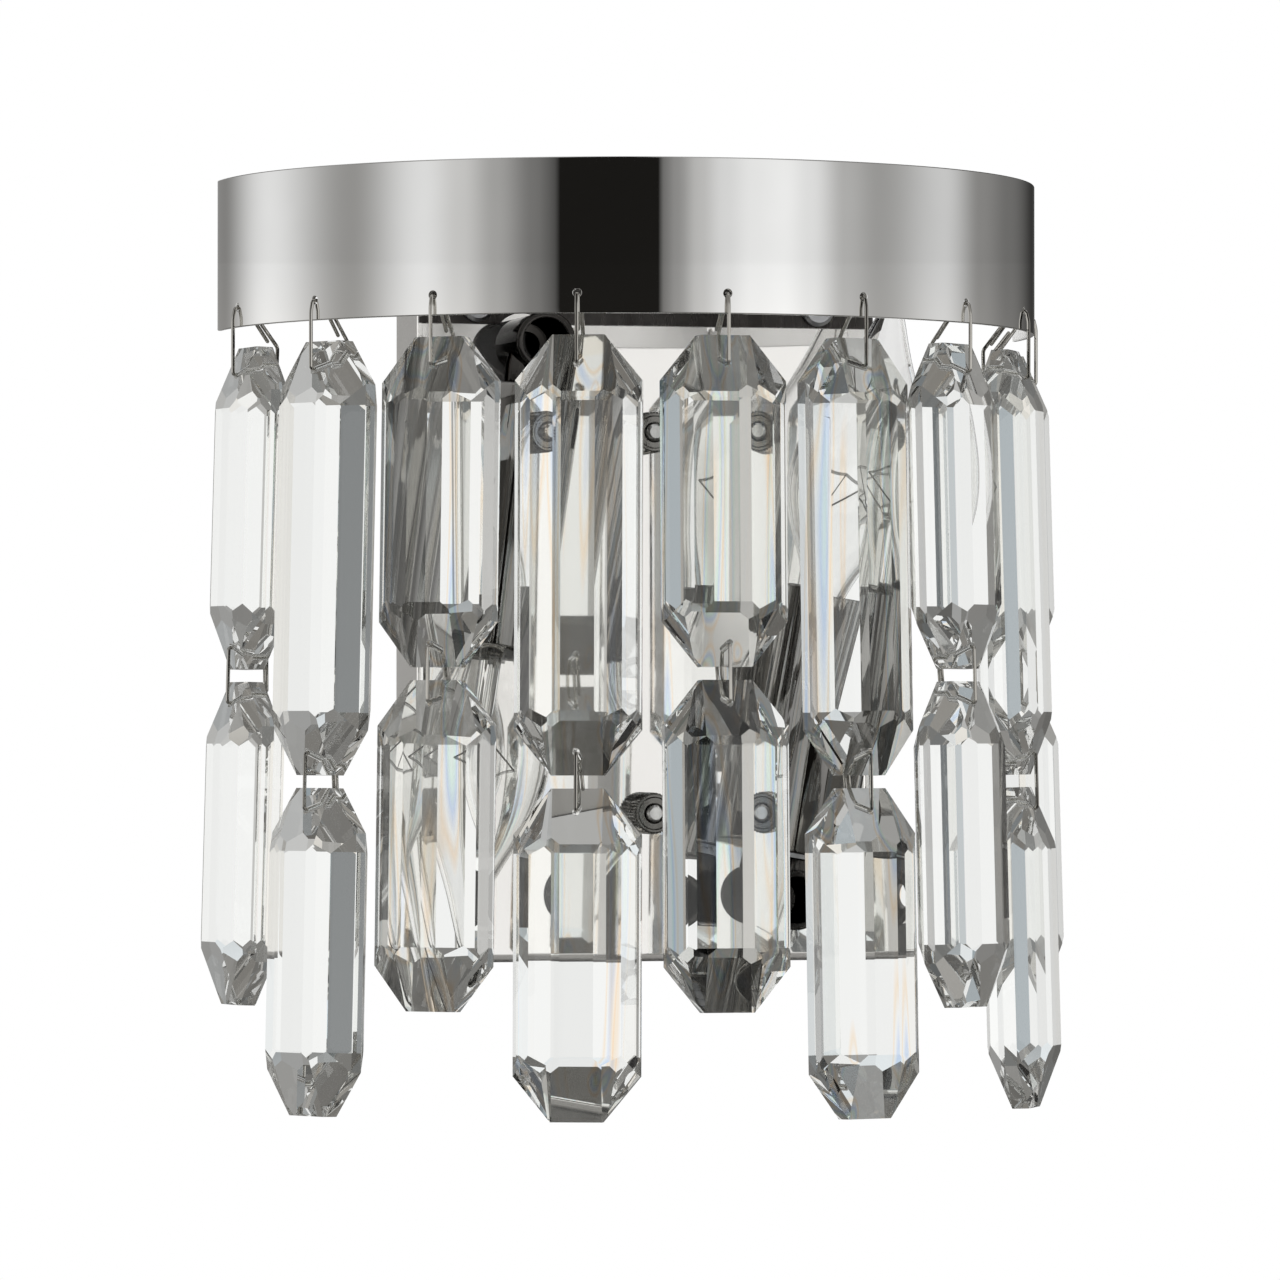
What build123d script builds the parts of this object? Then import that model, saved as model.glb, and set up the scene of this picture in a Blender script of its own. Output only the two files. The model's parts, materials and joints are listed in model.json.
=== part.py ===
from build123d import *
import math
import os

# Crystal wall sconce, millimetres.
# +Z is up, the room is towards -Y and the wall is the plane Y = 0.
# The origin is on the wall, at the centre of the back plate.

# Band: the half-round polished strip that carries the crystals
BAND_RADIUS = 100.0  # outer radius
BAND_WALL = 1.2
BAND_HEIGHT = 36.0
BAND_OVERLAP = 11.0  # the band's lower edge is this far below the plate's top
BAND_WALL_GAP = 0.5  # the two ends stop this far from the wall
HOOK_HOLE_RADIUS = 0.95
HOOK_HOLE_RISE = 4.7  # hole centre above the band's lower edge

# Crystal strings
STRING_COUNT = 9
STRING_STEP = 20.0  # degrees from one string to the next
STRING_TILT = 1.6  # degrees that each string leans outwards as it hangs
PRISM_WIDTH = 29.4
PRISM_DEPTH = 16.0
FRONT_FACET = 9.0  # width of the broad front and back facets
SIDE_FACET = 3.0  # width of the narrow side facets
SHOULDER_WIDTH = 21.4  # across the long edges between front and side bevels
SHOULDER_DEPTH = 11.6
SHORT_PRISM = 76.5
LONG_PRISM = 101.5
TIP_WIDTH = 12.0  # flat end of a prism
TIP_DEPTH = 4.0
FRONT_ROOF = 14.8  # length of the sloping facet from the end to the front
SIDE_ROOF = 10.5  # length of the sloping facet from the end to the side
CORNER_ROOF = 15.3  # how far down the corner facets reach
PRISM_HOLE_RADIUS = 0.85
TOP_HOLE_DROP = 7.0  # the hole for the band hook, below the prism's top
LINK_HOLE_DROP = 5.4  # the holes for the link, from the ends that face each other
PRISM_GAP = 3.0  # between an upper prism and the one below it
PRISM_TOP_DROP = 9.3  # prism top below the wire in the band

# Wire hooks
WIRE_RADIUS = 0.45
WIRE_SIDES = 8
WIRE_BEND = 0.7  # each corner of a wire is cut this far from its point
WIRE_FIT = 0.05  # between the wire and the glass or metal that it bears on
WIRE_SIDE_GAP = 0.15  # between a hook's legs and the faces of a prism
WIRE_SAG = 0.1  # the wire lies this far below the centre of the band's hole
TAIL_OFFSET = 0.55  # each crossing wire end lies this far off the hook's plane
LINK_TAIL_OFFSET = 0.8
ROOF_RUN = 1.6  # length of the hook's level run behind the band
TAIL_REACH = 7.5  # the first wire end, behind the band
TAIL_DROP = 7.6
COLLAR_REACH = 5.0  # the second wire end, behind the band
COLLAR_DROP = 3.2
LEG_KNEE_DROP = 9.0  # where the rear leg turns towards the band

# Back plate: a pan of polished sheet, open to the wall
PLATE_WIDTH = 112.0
PLATE_HEIGHT = 162.0
PLATE_DEPTH = 24.0
PLATE_SHEET = 1.0
PLATE_EDGE = 2.0  # rounding of the outer edges

# Wall strap, hidden in the pan
STRAP_WIDTH = 22.0
STRAP_END = 13.5  # strap beyond each stud
STRAP_SHEET = 2.0
SLOT_WIDTH = 5.0
SLOT_LENGTH = 12.0
SLOT_PITCH = 60.0  # between the centres of the two slots
CABLE_HOLE_RADIUS = 5.0
CABLE_HOLE_Z = 16.0
STUD_INSET = 35.5  # from the plate's top and bottom edge
STUD_RADIUS = 2.0
STUD_FLANGE_RADIUS = 4.0
STUD_FLANGE = 0.8
STUD_TIP = 1.6  # stud beyond the thumb nut
HOLE_CLEARANCE = 0.3  # radial, for a screw or stud through sheet

# Thumb nuts
NUT_RADIUS = 5.0
NUT_LENGTH = 8.0
NUT_TEETH = 24
NUT_TOOTH = 0.4  # depth of the knurl
NUT_RIM = 0.5  # bevel at both ends
NUT_FIT = 0.05  # radial, between stud and nut, and between nut and plate

# Terminal block
BLOCK_LENGTH = 27.0
BLOCK_WIDTH = 16.0
BLOCK_HEIGHT = 12.0
BLOCK_POLES = 3
BLOCK_BORE_RADIUS = 1.7
BLOCK_SCREW_RADIUS = 1.9
BLOCK_SCREW_DEPTH = 5.0
BLOCK_EDGE = 1.0
BLOCK_DROP = 1.0  # block's top below the cable hole

# Band bracket: rear flange on the plate, two arms, curved tabs in the band
BRACKET_SHEET = 1.5
FLANGE_RISE = 1.2  # flange above the band's lower edge
ARM_RISE = 18.0  # underside of the arms above the band's lower edge
ARM_SPACING = 60.0
ARM_WIDTH = 12.0
TAB_RISE = 13.0
TAB_ANGLE = 9.0  # degrees along the band that each tab covers
BRACKET_SCREW_SPACING = 84.0
BRACKET_SCREW_RISE = 4.2  # above the flange's lower edge
BRACKET_NOTCH_GAP = 1.2  # round the left elbow
SCREW_RADIUS = 2.0
SCREW_HEAD_RADIUS = 3.8
SCREW_HEAD = 2.2
SCREW_HEAD_BEVEL = 0.8
SCREW_SLOT = 0.9
SCREW_END = 1.0  # of the screw, beyond its nut
SCREW_NUT_FLATS = 7.0
SCREW_NUT = 3.2

# Lamp elbows
ELBOW_X = 30.5
ELBOW_INSET = 15.0  # from the plate's top or bottom edge
ELBOW_RADIUS = 6.75
ELBOW_REACH = 24.5  # mouth in front of the plate
ELBOW_BORE_RADIUS = 5.5
ELBOW_FLOOR = 4.0  # closed end at the plate
NECK_RISE = 13.0  # lamp axis in front of the plate
NECK_END = 10.5  # along the lamp axis from the elbow's axis
NECK_BASE_RADIUS = 6.2
NECK_TIP_RADIUS = 5.9
TAIL_RADIUS = 5.0  # threaded tail through the plate
TAIL_LENGTH = 12.0
WIREWAY_RADIUS = 3.0
LOCK_NUT_FLATS = 14.0
LOCK_NUT = 4.0

# Lamps: distances along the lamp axis are from the elbow's axis
BULB_GAP = 4.0  # between a bulb's widest place and the crystals
BULB_PLATE_GAP = 4.45  # between that place and the plate's face
SLEEVE_START = 12.0
SLEEVE_LENGTH = 62.5
SLEEVE_RADIUS = 13.5
SLEEVE_WALL = 0.8
NIPPLE_RADIUS = 5.0
NIPPLE_WALL = 1.5
NIPPLE_START = 8.0
NIPPLE_END = 19.0
SOCKET_GAP = 0.2  # socket base above the sleeve's floor
SOCKET_BASE_RADIUS = 11.0
SOCKET_BASE = 7.0
SOCKET_STEM_RADIUS = 8.0
SOCKET_CUP_START = 38.0
SOCKET_CUP_END = 64.0
SOCKET_CUP_RADIUS = 12.0
SOCKET_BORE_RADIUS = 7.6
SOCKET_FLOOR = 3.0
SOCKET_FLARE = 3.0  # cone between stem and cup
LEAD_HOLE_RADIUS = 2.0
LEAD_HOLE = 2.0  # depth of the lead hole below the cup's floor line
SHELL_WALL = 0.4
SHELL_RISE = 3.0  # screw shell above the cup's floor
SHELL_DROP = 2.0  # and below the cup's mouth
CONTACT_RADIUS = 2.6
CONTACT_HEIGHT = 1.2

# Bulbs: small screw cap, clear candle glass
CAP_RADIUS = 6.95
CAP_START = 43.2
CAP_INSULATOR = 4.0  # the cap's cone down to its contact
CAP_TIP_RADIUS = 2.4
CAP_STEP = 0.8  # the cone's top is this much slimmer than the cap
CAP_ROUND = 1.0  # height of the cap's turned-in edge
CAP_FLARE = 4.0  # height of the collar that holds the glass
GLASS_START = 68.5
GLASS_LENGTH = 78.0
GLASS_NECK_RADIUS = 9.0
GLASS_RADIUS = 17.5
GLASS_BELLY = 31.0  # height of the widest place above the neck
GLASS_WAIST = 12.0
GLASS_WAIST_RADIUS = 11.2
GLASS_SHOULDER = 56.0
GLASS_SHOULDER_RADIUS = 10.0
GLASS_TIP_RADIUS = 2.0
GLASS_RINGS = 6  # cones that make up the belly
GLASS_WALL = 0.8
STEM_RADIUS = 2.6
STEM_FLARE_RADIUS = 7.4
STEM_FLARE = 5.0
STEM_HEIGHT = 26.0
STEM_BUTTON_RADIUS = 2.4
STEM_BUTTON = 2.0
STEM_PINCH_RADIUS = 1.1
STEM_PINCH = 1.5  # half height of the pinch below the button
FILAMENT_HEIGHT = 36.0  # filament above the glass's neck
FILAMENT_SPAN = 19.0
FILAMENT_SAG = 3.0  # the outer ends are this much lower
FILAMENT_WIRE = 0.35  # radius of lead and support wires
FILAMENT_SIDES = 6
FILAMENT_POINTS = 5  # wires that hold the filament

# Values that follow from the sizes above
BAND_LOW_Z = PLATE_HEIGHT / 2 - BAND_OVERLAP
BAND_TOP_Z = BAND_LOW_Z + BAND_HEIGHT
BAND_INNER_RADIUS = BAND_RADIUS - BAND_WALL
HINGE_RADIUS = BAND_RADIUS - BAND_WALL / 2
HOLE_Z = BAND_LOW_Z + HOOK_HOLE_RISE
HINGE_Z = HOLE_Z - WIRE_SAG
PLATE_FACE_Y = -PLATE_DEPTH
STUD_PITCH = PLATE_HEIGHT - 2 * STUD_INSET
STRAP_LENGTH = STUD_PITCH + 2 * STRAP_END
BRACKET_LOW_Z = BAND_LOW_Z + FLANGE_RISE
BRACKET_ARM_Z = BAND_LOW_Z + ARM_RISE
ELBOW_Z = PLATE_HEIGHT / 2 - ELBOW_INSET
WIRE_PLAY = PRISM_HOLE_RADIUS - WIRE_RADIUS - WIRE_FIT  # wire centre off a hole's centre
FRONT_LEG = BAND_WALL / 2 + WIRE_RADIUS + WIRE_FIT  # front leg, outwards from the hinge


def half_depth_at(drop):
    """Half the depth of a prism's sloping end at a distance from its tip."""
    slope = (PRISM_DEPTH - TIP_DEPTH) / 2 / FRONT_ROOF
    return TIP_DEPTH / 2 + slope * min(drop, FRONT_ROOF)


PRISM_INSET = half_depth_at(TOP_HOLE_DROP) + WIRE_SIDE_GAP + WIRE_RADIUS - FRONT_LEG
REAR_LEG = PRISM_INSET + half_depth_at(TOP_HOLE_DROP) + WIRE_SIDE_GAP + WIRE_RADIUS
HOOK_HEIGHT = PRISM_TOP_DROP + TOP_HOLE_DROP - WIRE_PLAY
LINK_LEG = half_depth_at(LINK_HOLE_DROP) + WIRE_SIDE_GAP + WIRE_RADIUS
LINK_HEIGHT = 2 * LINK_HOLE_DROP + PRISM_GAP - 2 * WIRE_PLAY


# Crystals

def crystal_prism(length, hole_drops):
    """Cut-glass prism hanging down from Z = 0, flat ends in the XY plane.

    The section is a twelve-sided lozenge. Each end is cut by eight sloping
    planes. Every hole runs front to back, at the given distance below the top.
    """
    corners = [
        (FRONT_FACET / 2, PRISM_DEPTH / 2),
        (SHOULDER_WIDTH / 2, SHOULDER_DEPTH / 2),
        (PRISM_WIDTH / 2, SIDE_FACET / 2),
    ]
    right = corners + [(x, -y) for x, y in reversed(corners)]
    outline = right + [(-x, -y) for x, y in right]
    body = extrude(make_face(Polyline(*outline, close=True)), -length)
    for face in roof_planes():
        body = split(body, bisect_by=face, keep=Keep.BOTTOM)
        low = Plane(
            origin=(face.origin.X, face.origin.Y, -length - face.origin.Z),
            z_dir=(face.z_dir.X, face.z_dir.Y, -face.z_dir.Z),
        )
        body = split(body, bisect_by=low, keep=Keep.BOTTOM)
    for drop in hole_drops:
        drill = Cylinder(PRISM_HOLE_RADIUS, 2 * PRISM_DEPTH, rotation=(90, 0, 0))
        body -= Pos(0, 0, -drop) * drill
    return body


def roof_planes():
    """The eight sloping planes of a prism's top end, facing outwards."""
    tip = Vector(TIP_WIDTH / 2, TIP_DEPTH / 2, 0)
    side = Vector(PRISM_WIDTH / 2, SIDE_FACET / 2, -SIDE_ROOF)
    shoulder = Vector(SHOULDER_WIDTH / 2, SHOULDER_DEPTH / 2, -CORNER_ROOF)
    front_run = (PRISM_DEPTH - TIP_DEPTH) / 2
    side_run = (PRISM_WIDTH - TIP_WIDTH) / 2
    corner = (side - tip).cross(shoulder - tip)
    corner = corner if corner.Z > 0 else -corner
    planes = []
    for sign_y in (1, -1):
        planes.append(Plane(origin=(0, sign_y * tip.Y, 0), z_dir=(0, sign_y * FRONT_ROOF, front_run)))
        for sign_x in (1, -1):
            normal = (sign_x * corner.X, sign_y * corner.Y, corner.Z)
            planes.append(Plane(origin=(sign_x * tip.X, sign_y * tip.Y, 0), z_dir=normal))
    for sign_x in (1, -1):
        planes.append(Plane(origin=(sign_x * tip.X, 0, 0), z_dir=(sign_x * SIDE_ROOF, 0, side_run)))
    return planes


def bent_wire(points):
    """Eight-sided wire along straight runs, each of its corners cut once."""
    route = [Vector(*point) for point in points]
    bends = [route[0]]
    for before, corner, after in zip(route, route[1:], route[2:]):
        bends.append(corner + (before - corner).normalized() * WIRE_BEND)
        bends.append(corner + (after - corner).normalized() * WIRE_BEND)
    path = Polyline(*bends, route[-1])
    section = Plane(origin=path @ 0, z_dir=path % 0) * RegularPolygon(WIRE_RADIUS, WIRE_SIDES)
    return sweep(section, path=path, transition=Transition.RIGHT)


def band_hook():
    """Hook from the band's hole to the top prism, -Y outwards, hinge at the origin.

    The front leg lies against the band, the bottom run passes through the
    prism, and the two ends of the wire cross behind the band.
    """
    return bent_wire([
        (TAIL_OFFSET, COLLAR_REACH, -COLLAR_DROP),
        (TAIL_OFFSET / 2, REAR_LEG, -LEG_KNEE_DROP),
        (0, REAR_LEG, -HOOK_HEIGHT),
        (0, -FRONT_LEG, -HOOK_HEIGHT),
        (0, -FRONT_LEG, 0),
        (0, ROOF_RUN, 0),
        (-TAIL_OFFSET, TAIL_REACH, -TAIL_DROP),
    ])


def prism_link():
    """Wire link between two prisms, its top run at the origin, ends side by side."""
    lap = LINK_HEIGHT / 4
    return bent_wire([
        (LINK_TAIL_OFFSET, LINK_LEG, -LINK_HEIGHT + lap),
        (0, LINK_LEG, 0),
        (0, -LINK_LEG, 0),
        (0, -LINK_LEG, -LINK_HEIGHT),
        (0, LINK_LEG, -LINK_HEIGHT),
        (-LINK_TAIL_OFFSET, LINK_LEG, -lap),
    ])


def string_place(index):
    """Place of a string's hinge: the wire in the band's hole, leaning outwards."""
    angle = (index - (STRING_COUNT - 1) / 2) * STRING_STEP
    at_front = Pos(0, -HINGE_RADIUS, HINGE_Z) * Rot(-STRING_TILT, 0, 0)
    return Rot(0, 0, angle) * at_front


def crystal_strings():
    """Every string: hook, upper prism, link and lower prism as four nodes."""
    hook = band_hook()
    link = prism_link()
    lower = crystal_prism(SHORT_PRISM, [LINK_HOLE_DROP])
    uppers = {
        length: crystal_prism(length, [TOP_HOLE_DROP, length - LINK_HOLE_DROP])
        for length in (SHORT_PRISM, LONG_PRISM)
    }
    nodes = {}
    for index in range(STRING_COUNT):
        length = LONG_PRISM if index % 2 else SHORT_PRISM
        place = string_place(index)
        top = Pos(0, PRISM_INSET, -PRISM_TOP_DROP)
        link_at = Pos(0, 0, LINK_HOLE_DROP - length - WIRE_PLAY)
        lower_at = Pos(0, 0, -length - PRISM_GAP)
        number = index + 1
        nodes[f"band_hook_{number}"] = place * hook
        nodes[f"upper_prism_{number}"] = place * top * uppers[length]
        nodes[f"prism_link_{number}"] = place * top * link_at * link
        nodes[f"lower_prism_{number}"] = place * top * lower_at * lower
    return nodes


# Band and bracket

def half_ring(outer, inner, low, high):
    """Half tube in front of the wall, between two heights."""
    ring = Circle(outer) - Circle(inner)
    ring = ring & Pos(0, -outer / 2 - BAND_WALL_GAP) * Rectangle(3 * outer, outer)
    return Pos(0, 0, low) * extrude(ring, high - low)


def band():
    """Half-round strip with one hook hole for each string."""
    strip = half_ring(BAND_RADIUS, BAND_INNER_RADIUS, BAND_LOW_Z, BAND_TOP_Z)
    drill = Pos(0, -HINGE_RADIUS, HOLE_Z) * Cylinder(HOOK_HOLE_RADIUS, 4 * BAND_WALL, rotation=(90, 0, 0))
    for index in range(STRING_COUNT):
        angle = (index - (STRING_COUNT - 1) / 2) * STRING_STEP
        strip -= Rot(0, 0, angle) * drill
    return strip


def band_bracket():
    """Sheet bracket: flange on the plate, two arms and a curved tab on each arm."""
    top_z = BRACKET_ARM_Z + BRACKET_SHEET
    rise = top_z - BRACKET_LOW_Z
    flange_y = PLATE_FACE_Y - BRACKET_SHEET / 2
    bracket = Pos(0, flange_y, BRACKET_LOW_Z + rise / 2) * Box(PLATE_WIDTH, BRACKET_SHEET, rise)
    inside = Cylinder(BAND_INNER_RADIUS, BRACKET_SHEET)
    arm_z = BRACKET_ARM_Z + BRACKET_SHEET / 2
    tab_shell = half_ring(BAND_INNER_RADIUS, BAND_INNER_RADIUS - BRACKET_SHEET, BRACKET_ARM_Z, top_z + TAB_RISE)
    tab_width = 2 * BAND_RADIUS * math.radians(TAB_ANGLE / 2)
    for side in (-1, 1):
        arm_x = side * ARM_SPACING / 2
        reach = BAND_RADIUS + PLATE_FACE_Y
        arm = Pos(arm_x, PLATE_FACE_Y - reach / 2, arm_z) * Box(ARM_WIDTH, reach, BRACKET_SHEET)
        bracket += arm & Pos(0, 0, arm_z) * inside
        cutter = Pos(arm_x, -BAND_RADIUS / 2, top_z) * Box(tab_width, BAND_RADIUS, 3 * TAB_RISE)
        bracket += tab_shell & cutter
    for x in (-BRACKET_SCREW_SPACING / 2, BRACKET_SCREW_SPACING / 2):
        bracket -= bracket_screw_place(x) * Cylinder(SCREW_RADIUS + HOLE_CLEARANCE, 4 * BRACKET_SHEET)
    notch = Cylinder(ELBOW_RADIUS + BRACKET_NOTCH_GAP, 4 * BRACKET_SHEET, rotation=(90, 0, 0))
    return bracket - Pos(-ELBOW_X, PLATE_FACE_Y, ELBOW_Z) * notch


def bracket_screw_place(x):
    """Place of a bracket screw: origin on the flange's front, +Z towards the room."""
    return Pos(x, PLATE_FACE_Y - BRACKET_SHEET, BRACKET_LOW_Z + BRACKET_SCREW_RISE) * Rot(90, 0, 0)


def bracket_fasteners():
    """Two slotted screws with their nuts behind the plate's sheet."""
    grip = BRACKET_SHEET + PLATE_SHEET
    shank = grip + SCREW_NUT + SCREW_END
    pieces = []
    for x in (-BRACKET_SCREW_SPACING / 2, BRACKET_SCREW_SPACING / 2):
        head = Pos(0, 0, SCREW_HEAD / 2) * Cylinder(SCREW_HEAD_RADIUS, SCREW_HEAD)
        head = chamfer(head.edges().group_by(Axis.Z)[-1], SCREW_HEAD_BEVEL)
        slot = Pos(0, 0, SCREW_HEAD) * Box(3 * SCREW_HEAD_RADIUS, SCREW_SLOT, SCREW_HEAD)
        screw = head - slot + Pos(0, 0, -shank / 2) * Cylinder(SCREW_RADIUS, shank)
        nut = extrude(RegularPolygon(SCREW_NUT_FLATS / 2, 6, major_radius=False) - Circle(SCREW_RADIUS), -SCREW_NUT)
        place = bracket_screw_place(x)
        pieces += [place * screw, place * Pos(0, 0, -grip) * nut]
    return Compound(children=pieces)


# Back plate and what it hides

def back_plate():
    """Polished pan with holes for the studs, the elbows and the bracket screws."""
    shell = Pos(0, PLATE_FACE_Y / 2, 0) * Box(PLATE_WIDTH, PLATE_DEPTH, PLATE_HEIGHT)
    front = shell.edges().group_by(Axis.Y)[0]
    upright = shell.edges().filter_by(Axis.Y)
    shell = fillet(front + upright, PLATE_EDGE)
    hollow = Box(PLATE_WIDTH - 2 * PLATE_SHEET, PLATE_DEPTH, PLATE_HEIGHT - 2 * PLATE_SHEET)
    shell -= Pos(0, PLATE_FACE_Y / 2 + PLATE_SHEET, 0) * hollow
    holes = [(0, side * STUD_PITCH / 2, STUD_RADIUS + HOLE_CLEARANCE) for side in (-1, 1)]
    holes += [(side * ELBOW_X, -side * ELBOW_Z, TAIL_RADIUS + HOLE_CLEARANCE) for side in (-1, 1)]
    screw_z = BRACKET_LOW_Z + BRACKET_SCREW_RISE
    holes += [(side * BRACKET_SCREW_SPACING / 2, screw_z, SCREW_RADIUS + HOLE_CLEARANCE) for side in (-1, 1)]
    for x, z, radius in holes:
        shell -= Pos(x, PLATE_FACE_Y, z) * Cylinder(radius, 4 * PLATE_SHEET, rotation=(90, 0, 0))
    return shell


def wall_strap():
    """Flat steel strap with two upright slots and a hole for the supply cable."""
    flat = Rectangle(STRAP_WIDTH, STRAP_LENGTH)
    flat = fillet(flat.vertices(), STRAP_WIDTH / 6)
    for side in (-1, 1):
        flat -= Pos(0, side * SLOT_PITCH / 2) * SlotOverall(SLOT_LENGTH, SLOT_WIDTH, rotation=90)
        flat -= Pos(0, side * STUD_PITCH / 2) * Circle(STUD_RADIUS)
    flat -= Pos(0, CABLE_HOLE_Z) * Circle(CABLE_HOLE_RADIUS)
    return Rot(90, 0, 0) * extrude(flat, STRAP_SHEET)


def strap_studs():
    """Two threaded studs riveted to the strap, long enough for the thumb nuts."""
    reach = PLATE_DEPTH + NUT_FIT + NUT_LENGTH + STUD_TIP
    stud = Pos(0, 0, reach / 2) * Cylinder(STUD_RADIUS, reach)
    stud = chamfer(stud.edges().group_by(Axis.Z)[-1], STUD_RADIUS / 4)
    stud += Pos(0, 0, STRAP_SHEET + STUD_FLANGE / 2) * Cylinder(STUD_FLANGE_RADIUS, STUD_FLANGE)
    upright = Rot(90, 0, 0) * stud
    return Compound(children=[Pos(0, 0, side * STUD_PITCH / 2) * upright for side in (-1, 1)])


def thumb_nut():
    """Knurled nut on the Z axis, its seat at Z = 0."""
    blank = Pos(0, 0, NUT_LENGTH / 2) * Cylinder(NUT_RADIUS, NUT_LENGTH)
    blank = chamfer(blank.edges().filter_by(GeomType.CIRCLE), NUT_RIM)
    outline = []
    for step in range(2 * NUT_TEETH):
        turn = math.pi * step / NUT_TEETH
        radius = NUT_RADIUS - NUT_TOOTH * (step % 2)
        outline.append((radius * math.cos(turn), radius * math.sin(turn)))
    knurl = make_face(Polyline(*outline, close=True)) - Circle(STUD_RADIUS + NUT_FIT)
    return extrude(knurl, NUT_LENGTH) & blank


def nut_place(side):
    """Place of a thumb nut on its stud, above or below the plate's centre."""
    return Pos(0, PLATE_FACE_Y - NUT_FIT, side * STUD_PITCH / 2) * Rot(90, 0, 0)


def terminal_block():
    """Three-way block on the strap, wire bores upright, clamp screws to the front."""
    block = Box(BLOCK_LENGTH, BLOCK_HEIGHT, BLOCK_WIDTH)
    block = fillet(block.edges().filter_by(Axis.Z), BLOCK_EDGE)
    pitch = BLOCK_LENGTH / BLOCK_POLES
    for pole in range(BLOCK_POLES):
        x = (pole - (BLOCK_POLES - 1) / 2) * pitch
        block -= Pos(x, 0, 0) * Cylinder(BLOCK_BORE_RADIUS, 2 * BLOCK_WIDTH)
        for z in (-BLOCK_WIDTH / 4, BLOCK_WIDTH / 4):
            well = Cylinder(BLOCK_SCREW_RADIUS, 2 * BLOCK_SCREW_DEPTH, rotation=(90, 0, 0))
            block -= Pos(x, -BLOCK_HEIGHT / 2, z) * well
    block_z = CABLE_HOLE_Z - CABLE_HOLE_RADIUS - BLOCK_DROP - BLOCK_WIDTH / 2
    return Pos(0, -STRAP_SHEET - BLOCK_HEIGHT / 2, block_z) * block


# Lamps, drawn for the right-hand one, which points up

def lamp_place():
    """Place of the right lamp: origin on the elbow's axis, +Z along the lamp.

    The lamp leans so that the bulb's widest place clears the crystals and the plate.
    """
    crystals_inside = HINGE_RADIUS - PRISM_INSET - PRISM_DEPTH / 2
    belly_radius = crystals_inside - BULB_GAP - GLASS_RADIUS
    belly_y = PLATE_FACE_Y - BULB_PLATE_GAP - GLASS_RADIUS
    origin = Vector(ELBOW_X, PLATE_FACE_Y - NECK_RISE, -ELBOW_Z)
    aside = math.sqrt(belly_radius ** 2 - belly_y ** 2) - origin.X
    forward = belly_y - origin.Y
    up = math.sqrt((GLASS_START + GLASS_BELLY) ** 2 - aside ** 2 - forward ** 2)
    return Plane(origin=origin, x_dir=(up, 0, -aside), z_dir=(aside, forward, up)).location


def turned(points):
    """Solid of revolution about Z of a closed outline in radius and height."""
    outline = Polyline(*[(radius, 0, height) for radius, height in points], close=True)
    return revolve(make_face(outline), Axis.Z)


def tube(outer, inner, low, high):
    """Round tube about Z between two heights."""
    return turned([(inner, low), (outer, low), (outer, high), (inner, high)])


def elbow():
    """Open cross tube with a threaded tail and a neck along the lamp axis."""
    axis = Pos(ELBOW_X, PLATE_FACE_Y, -ELBOW_Z) * Rot(90, 0, 0)
    barrel = turned([
        (WIREWAY_RADIUS, -TAIL_LENGTH),
        (TAIL_RADIUS, -TAIL_LENGTH),
        (TAIL_RADIUS, 0),
        (ELBOW_RADIUS, 0),
        (ELBOW_RADIUS, ELBOW_REACH),
        (ELBOW_BORE_RADIUS, ELBOW_REACH),
        (ELBOW_BORE_RADIUS, ELBOW_FLOOR),
        (WIREWAY_RADIUS, ELBOW_FLOOR),
    ])
    neck = turned([
        (0, 0),
        (NECK_BASE_RADIUS, 0),
        (NECK_BASE_RADIUS, ELBOW_RADIUS),
        (NECK_TIP_RADIUS, NECK_END),
        (0, NECK_END),
    ])
    bore = turned([
        (0, 0),
        (WIREWAY_RADIUS, 0),
        (WIREWAY_RADIUS, NIPPLE_START),
        (NIPPLE_RADIUS, NIPPLE_START),
        (NIPPLE_RADIUS, NECK_END + 1),
        (0, NECK_END + 1),
    ])
    inside = axis * Pos(0, 0, ELBOW_REACH / 2) * Cylinder(ELBOW_BORE_RADIUS, ELBOW_REACH)
    return axis * barrel + (lamp_place() * neck - inside) - lamp_place() * bore


def elbow_lock_nut():
    """Hexagon nut on the elbow's tail, behind the plate's sheet."""
    flat = RegularPolygon(LOCK_NUT_FLATS / 2, 6, major_radius=False) - Circle(TAIL_RADIUS)
    axis = Pos(ELBOW_X, PLATE_FACE_Y + PLATE_SHEET, -ELBOW_Z) * Rot(90, 0, 0)
    return axis * extrude(flat, -LOCK_NUT)


def sleeve():
    """Polished cup round the lamp holder, with a floor that the nipple clamps."""
    floor = SLEEVE_START + SLEEVE_WALL
    end = SLEEVE_START + SLEEVE_LENGTH
    inner = SLEEVE_RADIUS - SLEEVE_WALL
    return turned([
        (NIPPLE_RADIUS + NUT_FIT, SLEEVE_START),
        (SLEEVE_RADIUS - SLEEVE_WALL, SLEEVE_START),
        (SLEEVE_RADIUS, floor),
        (SLEEVE_RADIUS, end),
        (inner, end),
        (inner, floor),
        (NIPPLE_RADIUS + NUT_FIT, floor),
    ])


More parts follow.
